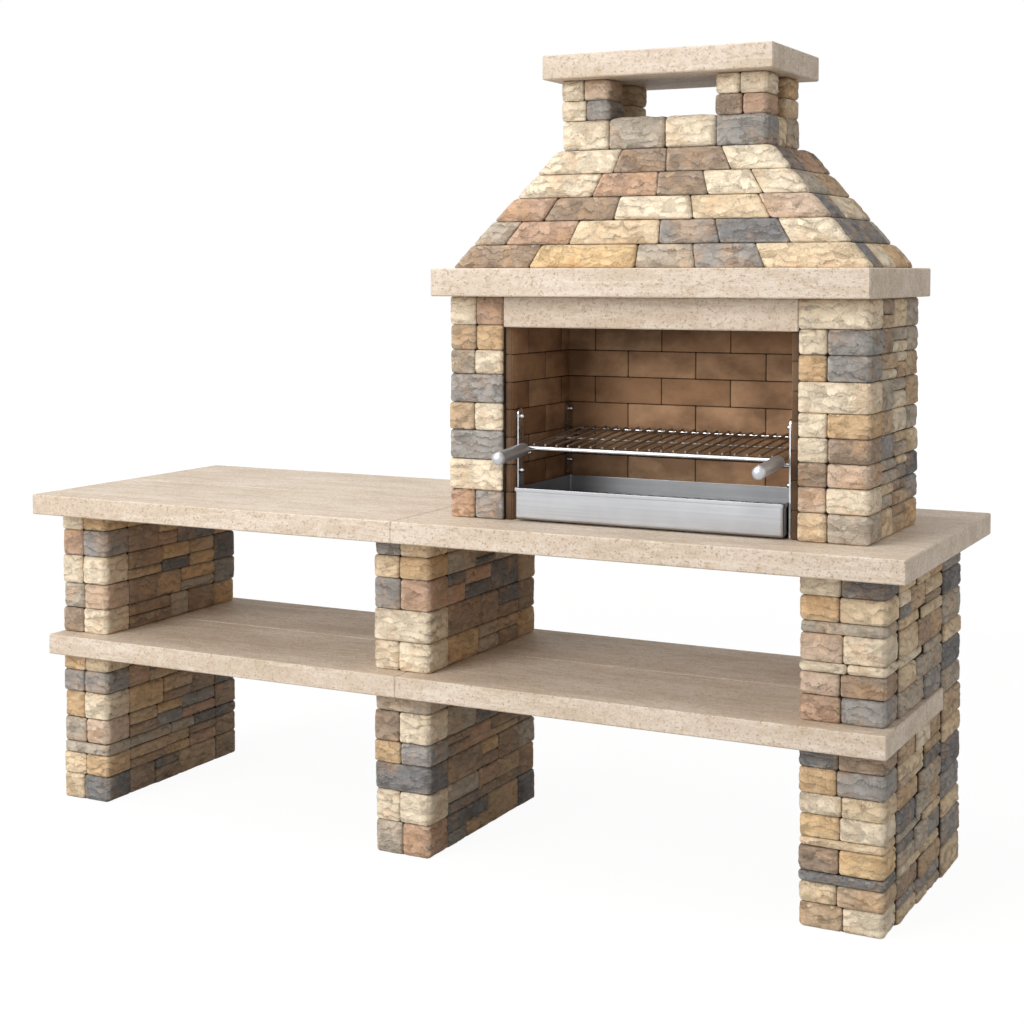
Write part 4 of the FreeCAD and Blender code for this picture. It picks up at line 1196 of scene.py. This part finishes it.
def make_rods():
    boxes = boxes_of("grill_rods", GRILL_SLOPE)
    low, high = boxes[0]
    pattern = drawn(high[1] - low[1], max(high[0] - low[0], high[2] - low[2]) / 2, ROD_SIDES)
    places = [((low + high) / 2 * (1, 0, 1) + low * (0, 1, 0), TOWARDS["+y"]) for low, high in boxes]
    hand_over(sloped(copies(pattern, places)), "round_grill_rods", "grill_rod_steel", "grill", "grill_rods")


def make_cross_bar(node, slot):
    (low, high), = boxes_of(node, GRILL_SLOPE)
    pattern = drawn(high[0] - low[0], (high[2] - low[2]) / 2, BAR_SIDES)
    places = [((low + high) / 2 * (0, 1, 1) + low * (1, 0, 0), TOWARDS["+x"])]
    hand_over(sloped(copies(pattern, places)), f"round_{node}", slot, "grill", node)


make_rods()
make_cross_bar("grill_back_bar", "bright_steel")
make_cross_bar("grill_middle_bar", "grill_rod_steel")

# %% [markdown]
# ## The handles
# Each handle is a tube with a cone at the grill's side and a domed cap at the cook's side. They are lathe
# work too, along the slope of the grill: three profiles, each copied to both handles.

# %% Turn the handles
GRIP_SIDES = 40
GRIP_EASE = 0.0015
CAP_WIDTH = 0.98
CAP_EDGE = 0.25
CAP_STEPS = 7
CONE_PROFILE = ((0.4, 0.9), (1.0, 0.45))
CONE_FOOT = 0.95


def along_y(boxes, end):
    """Places on the axes of pieces that lie along Y, at their front (0) or back (1) end."""
    places = []
    for box in boxes:
        middle = (box[0] + box[1]) / 2
        places.append(((middle[0], box[end][1], middle[2]), TOWARDS["-y" if end else "+y"]))
    return places


def make_handles():
    grips, caps, cones = (boxes_of(f"handle_{name}", GRILL_SLOPE) for name in ("grips", "caps", "ferrules"))
    radius = (grips[0][1][0] - grips[0][0][0]) / 2
    length, cap_length, cone_length = (boxes[0][1][1] - boxes[0][0][1] for boxes in (grips, caps, cones))
    tube = [(0, radius - GRIP_EASE), (GRIP_EASE, radius), (length - GRIP_EASE, radius),
            (length, radius - GRIP_EASE)]
    cap = [(0, radius - 2 * GRIP_EASE), (GRIP_EASE, radius * CAP_WIDTH)]
    cap += domed(cap_length * CAP_EDGE, cap_length, radius * CAP_WIDTH, CAP_STEPS)
    cone = [(0, radius - GRIP_EASE), (GRIP_EASE, radius * CONE_FOOT)]
    cone += [(cone_length * height, radius * width) for height, width in CONE_PROFILE]
    for name, node, profile, places in (("grip_tubes", "handle_grips", tube, along_y(grips, 0)),
                                        ("grip_domes", "handle_caps", cap, along_y(caps, 1)),
                                        ("grip_cones", "handle_ferrules", cone, along_y(cones, 0))):
        piece = sloped(copies(turned(profile, GRIP_SIDES), places))
        hand_over(piece, name, "grip_aluminium", "grill", node)


make_handles()

# %% [markdown]
# ## The charcoal tray
# The tray is folded from one sheet: four walls turned up, and the rim turned out and down into a hem that
# stiffens it. Fold it the same way: open the top of a box, round the folds with a bevel, extrude the rim
# outwards and down, and thicken the sheet with Solidify. Weighted normals keep the walls flat in the
# light, next to the bevels.

# %% Fold the tray
FOLD_RADIUS = 0.006
FOLD_SEGMENTS = 3
HEM_REACH = 0.0035
HEM_DEPTH = 0.009
SHEET = 0.0016
SHEET_BEVEL = 0.0006
FACING_UP = 0.5


def make_tray():
    low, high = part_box("charcoal_tray")
    middle, size = (low + high) / 2, high - low
    inner_x, inner_y = size.x - 2 * HEM_REACH, size.y - 2 * HEM_REACH
    bpy.ops.object.select_all(action="DESELECT")
    bpy.ops.mesh.primitive_cube_add(size=1, location=middle)
    tray = bpy.context.object
    tray.scale = (inner_x, inner_y, size.z)
    bpy.ops.object.transform_apply()
    bpy.ops.object.mode_set(mode="EDIT")
    bpy.ops.mesh.select_mode(type="FACE")
    bpy.ops.mesh.select_all(action="DESELECT")
    bpy.ops.object.mode_set(mode="OBJECT")
    for face in tray.data.polygons:
        face.select = face.normal.z > FACING_UP
    bpy.ops.object.mode_set(mode="EDIT")
    bpy.ops.mesh.delete(type="FACE")
    bpy.ops.mesh.select_all(action="SELECT")
    bpy.ops.mesh.bevel(offset=FOLD_RADIUS, segments=FOLD_SEGMENTS, affect="EDGES")
    bpy.ops.mesh.select_mode(type="EDGE")
    bpy.ops.mesh.select_all(action="DESELECT")
    bpy.ops.mesh.select_non_manifold()
    bpy.ops.mesh.extrude_region_move(TRANSFORM_OT_translate={"value": (0, 0, 0)})
    bpy.ops.transform.resize(value=(size.x / inner_x, size.y / inner_y, 1), center_override=middle)
    bpy.ops.mesh.extrude_region_move(TRANSFORM_OT_translate={"value": (0, 0, -HEM_DEPTH)})
    bpy.ops.mesh.select_all(action="SELECT")
    bpy.ops.mesh.normals_make_consistent(inside=False)
    bpy.ops.object.mode_set(mode="OBJECT")
    apply_modifier(tray, "SOLIDIFY", thickness=SHEET, offset=-1)
    apply_modifier(tray, "BEVEL", width=SHEET_BEVEL, segments=2, limit_method="ANGLE")
    bpy.ops.object.shade_smooth_by_angle(angle=SMOOTH_ANGLE)
    apply_modifier(tray, "WEIGHTED_NORMAL", keep_sharp=True)
    hand_over(tray, "folded_tray", "stainless_sheet", "tray", "charcoal_tray")


make_tray()
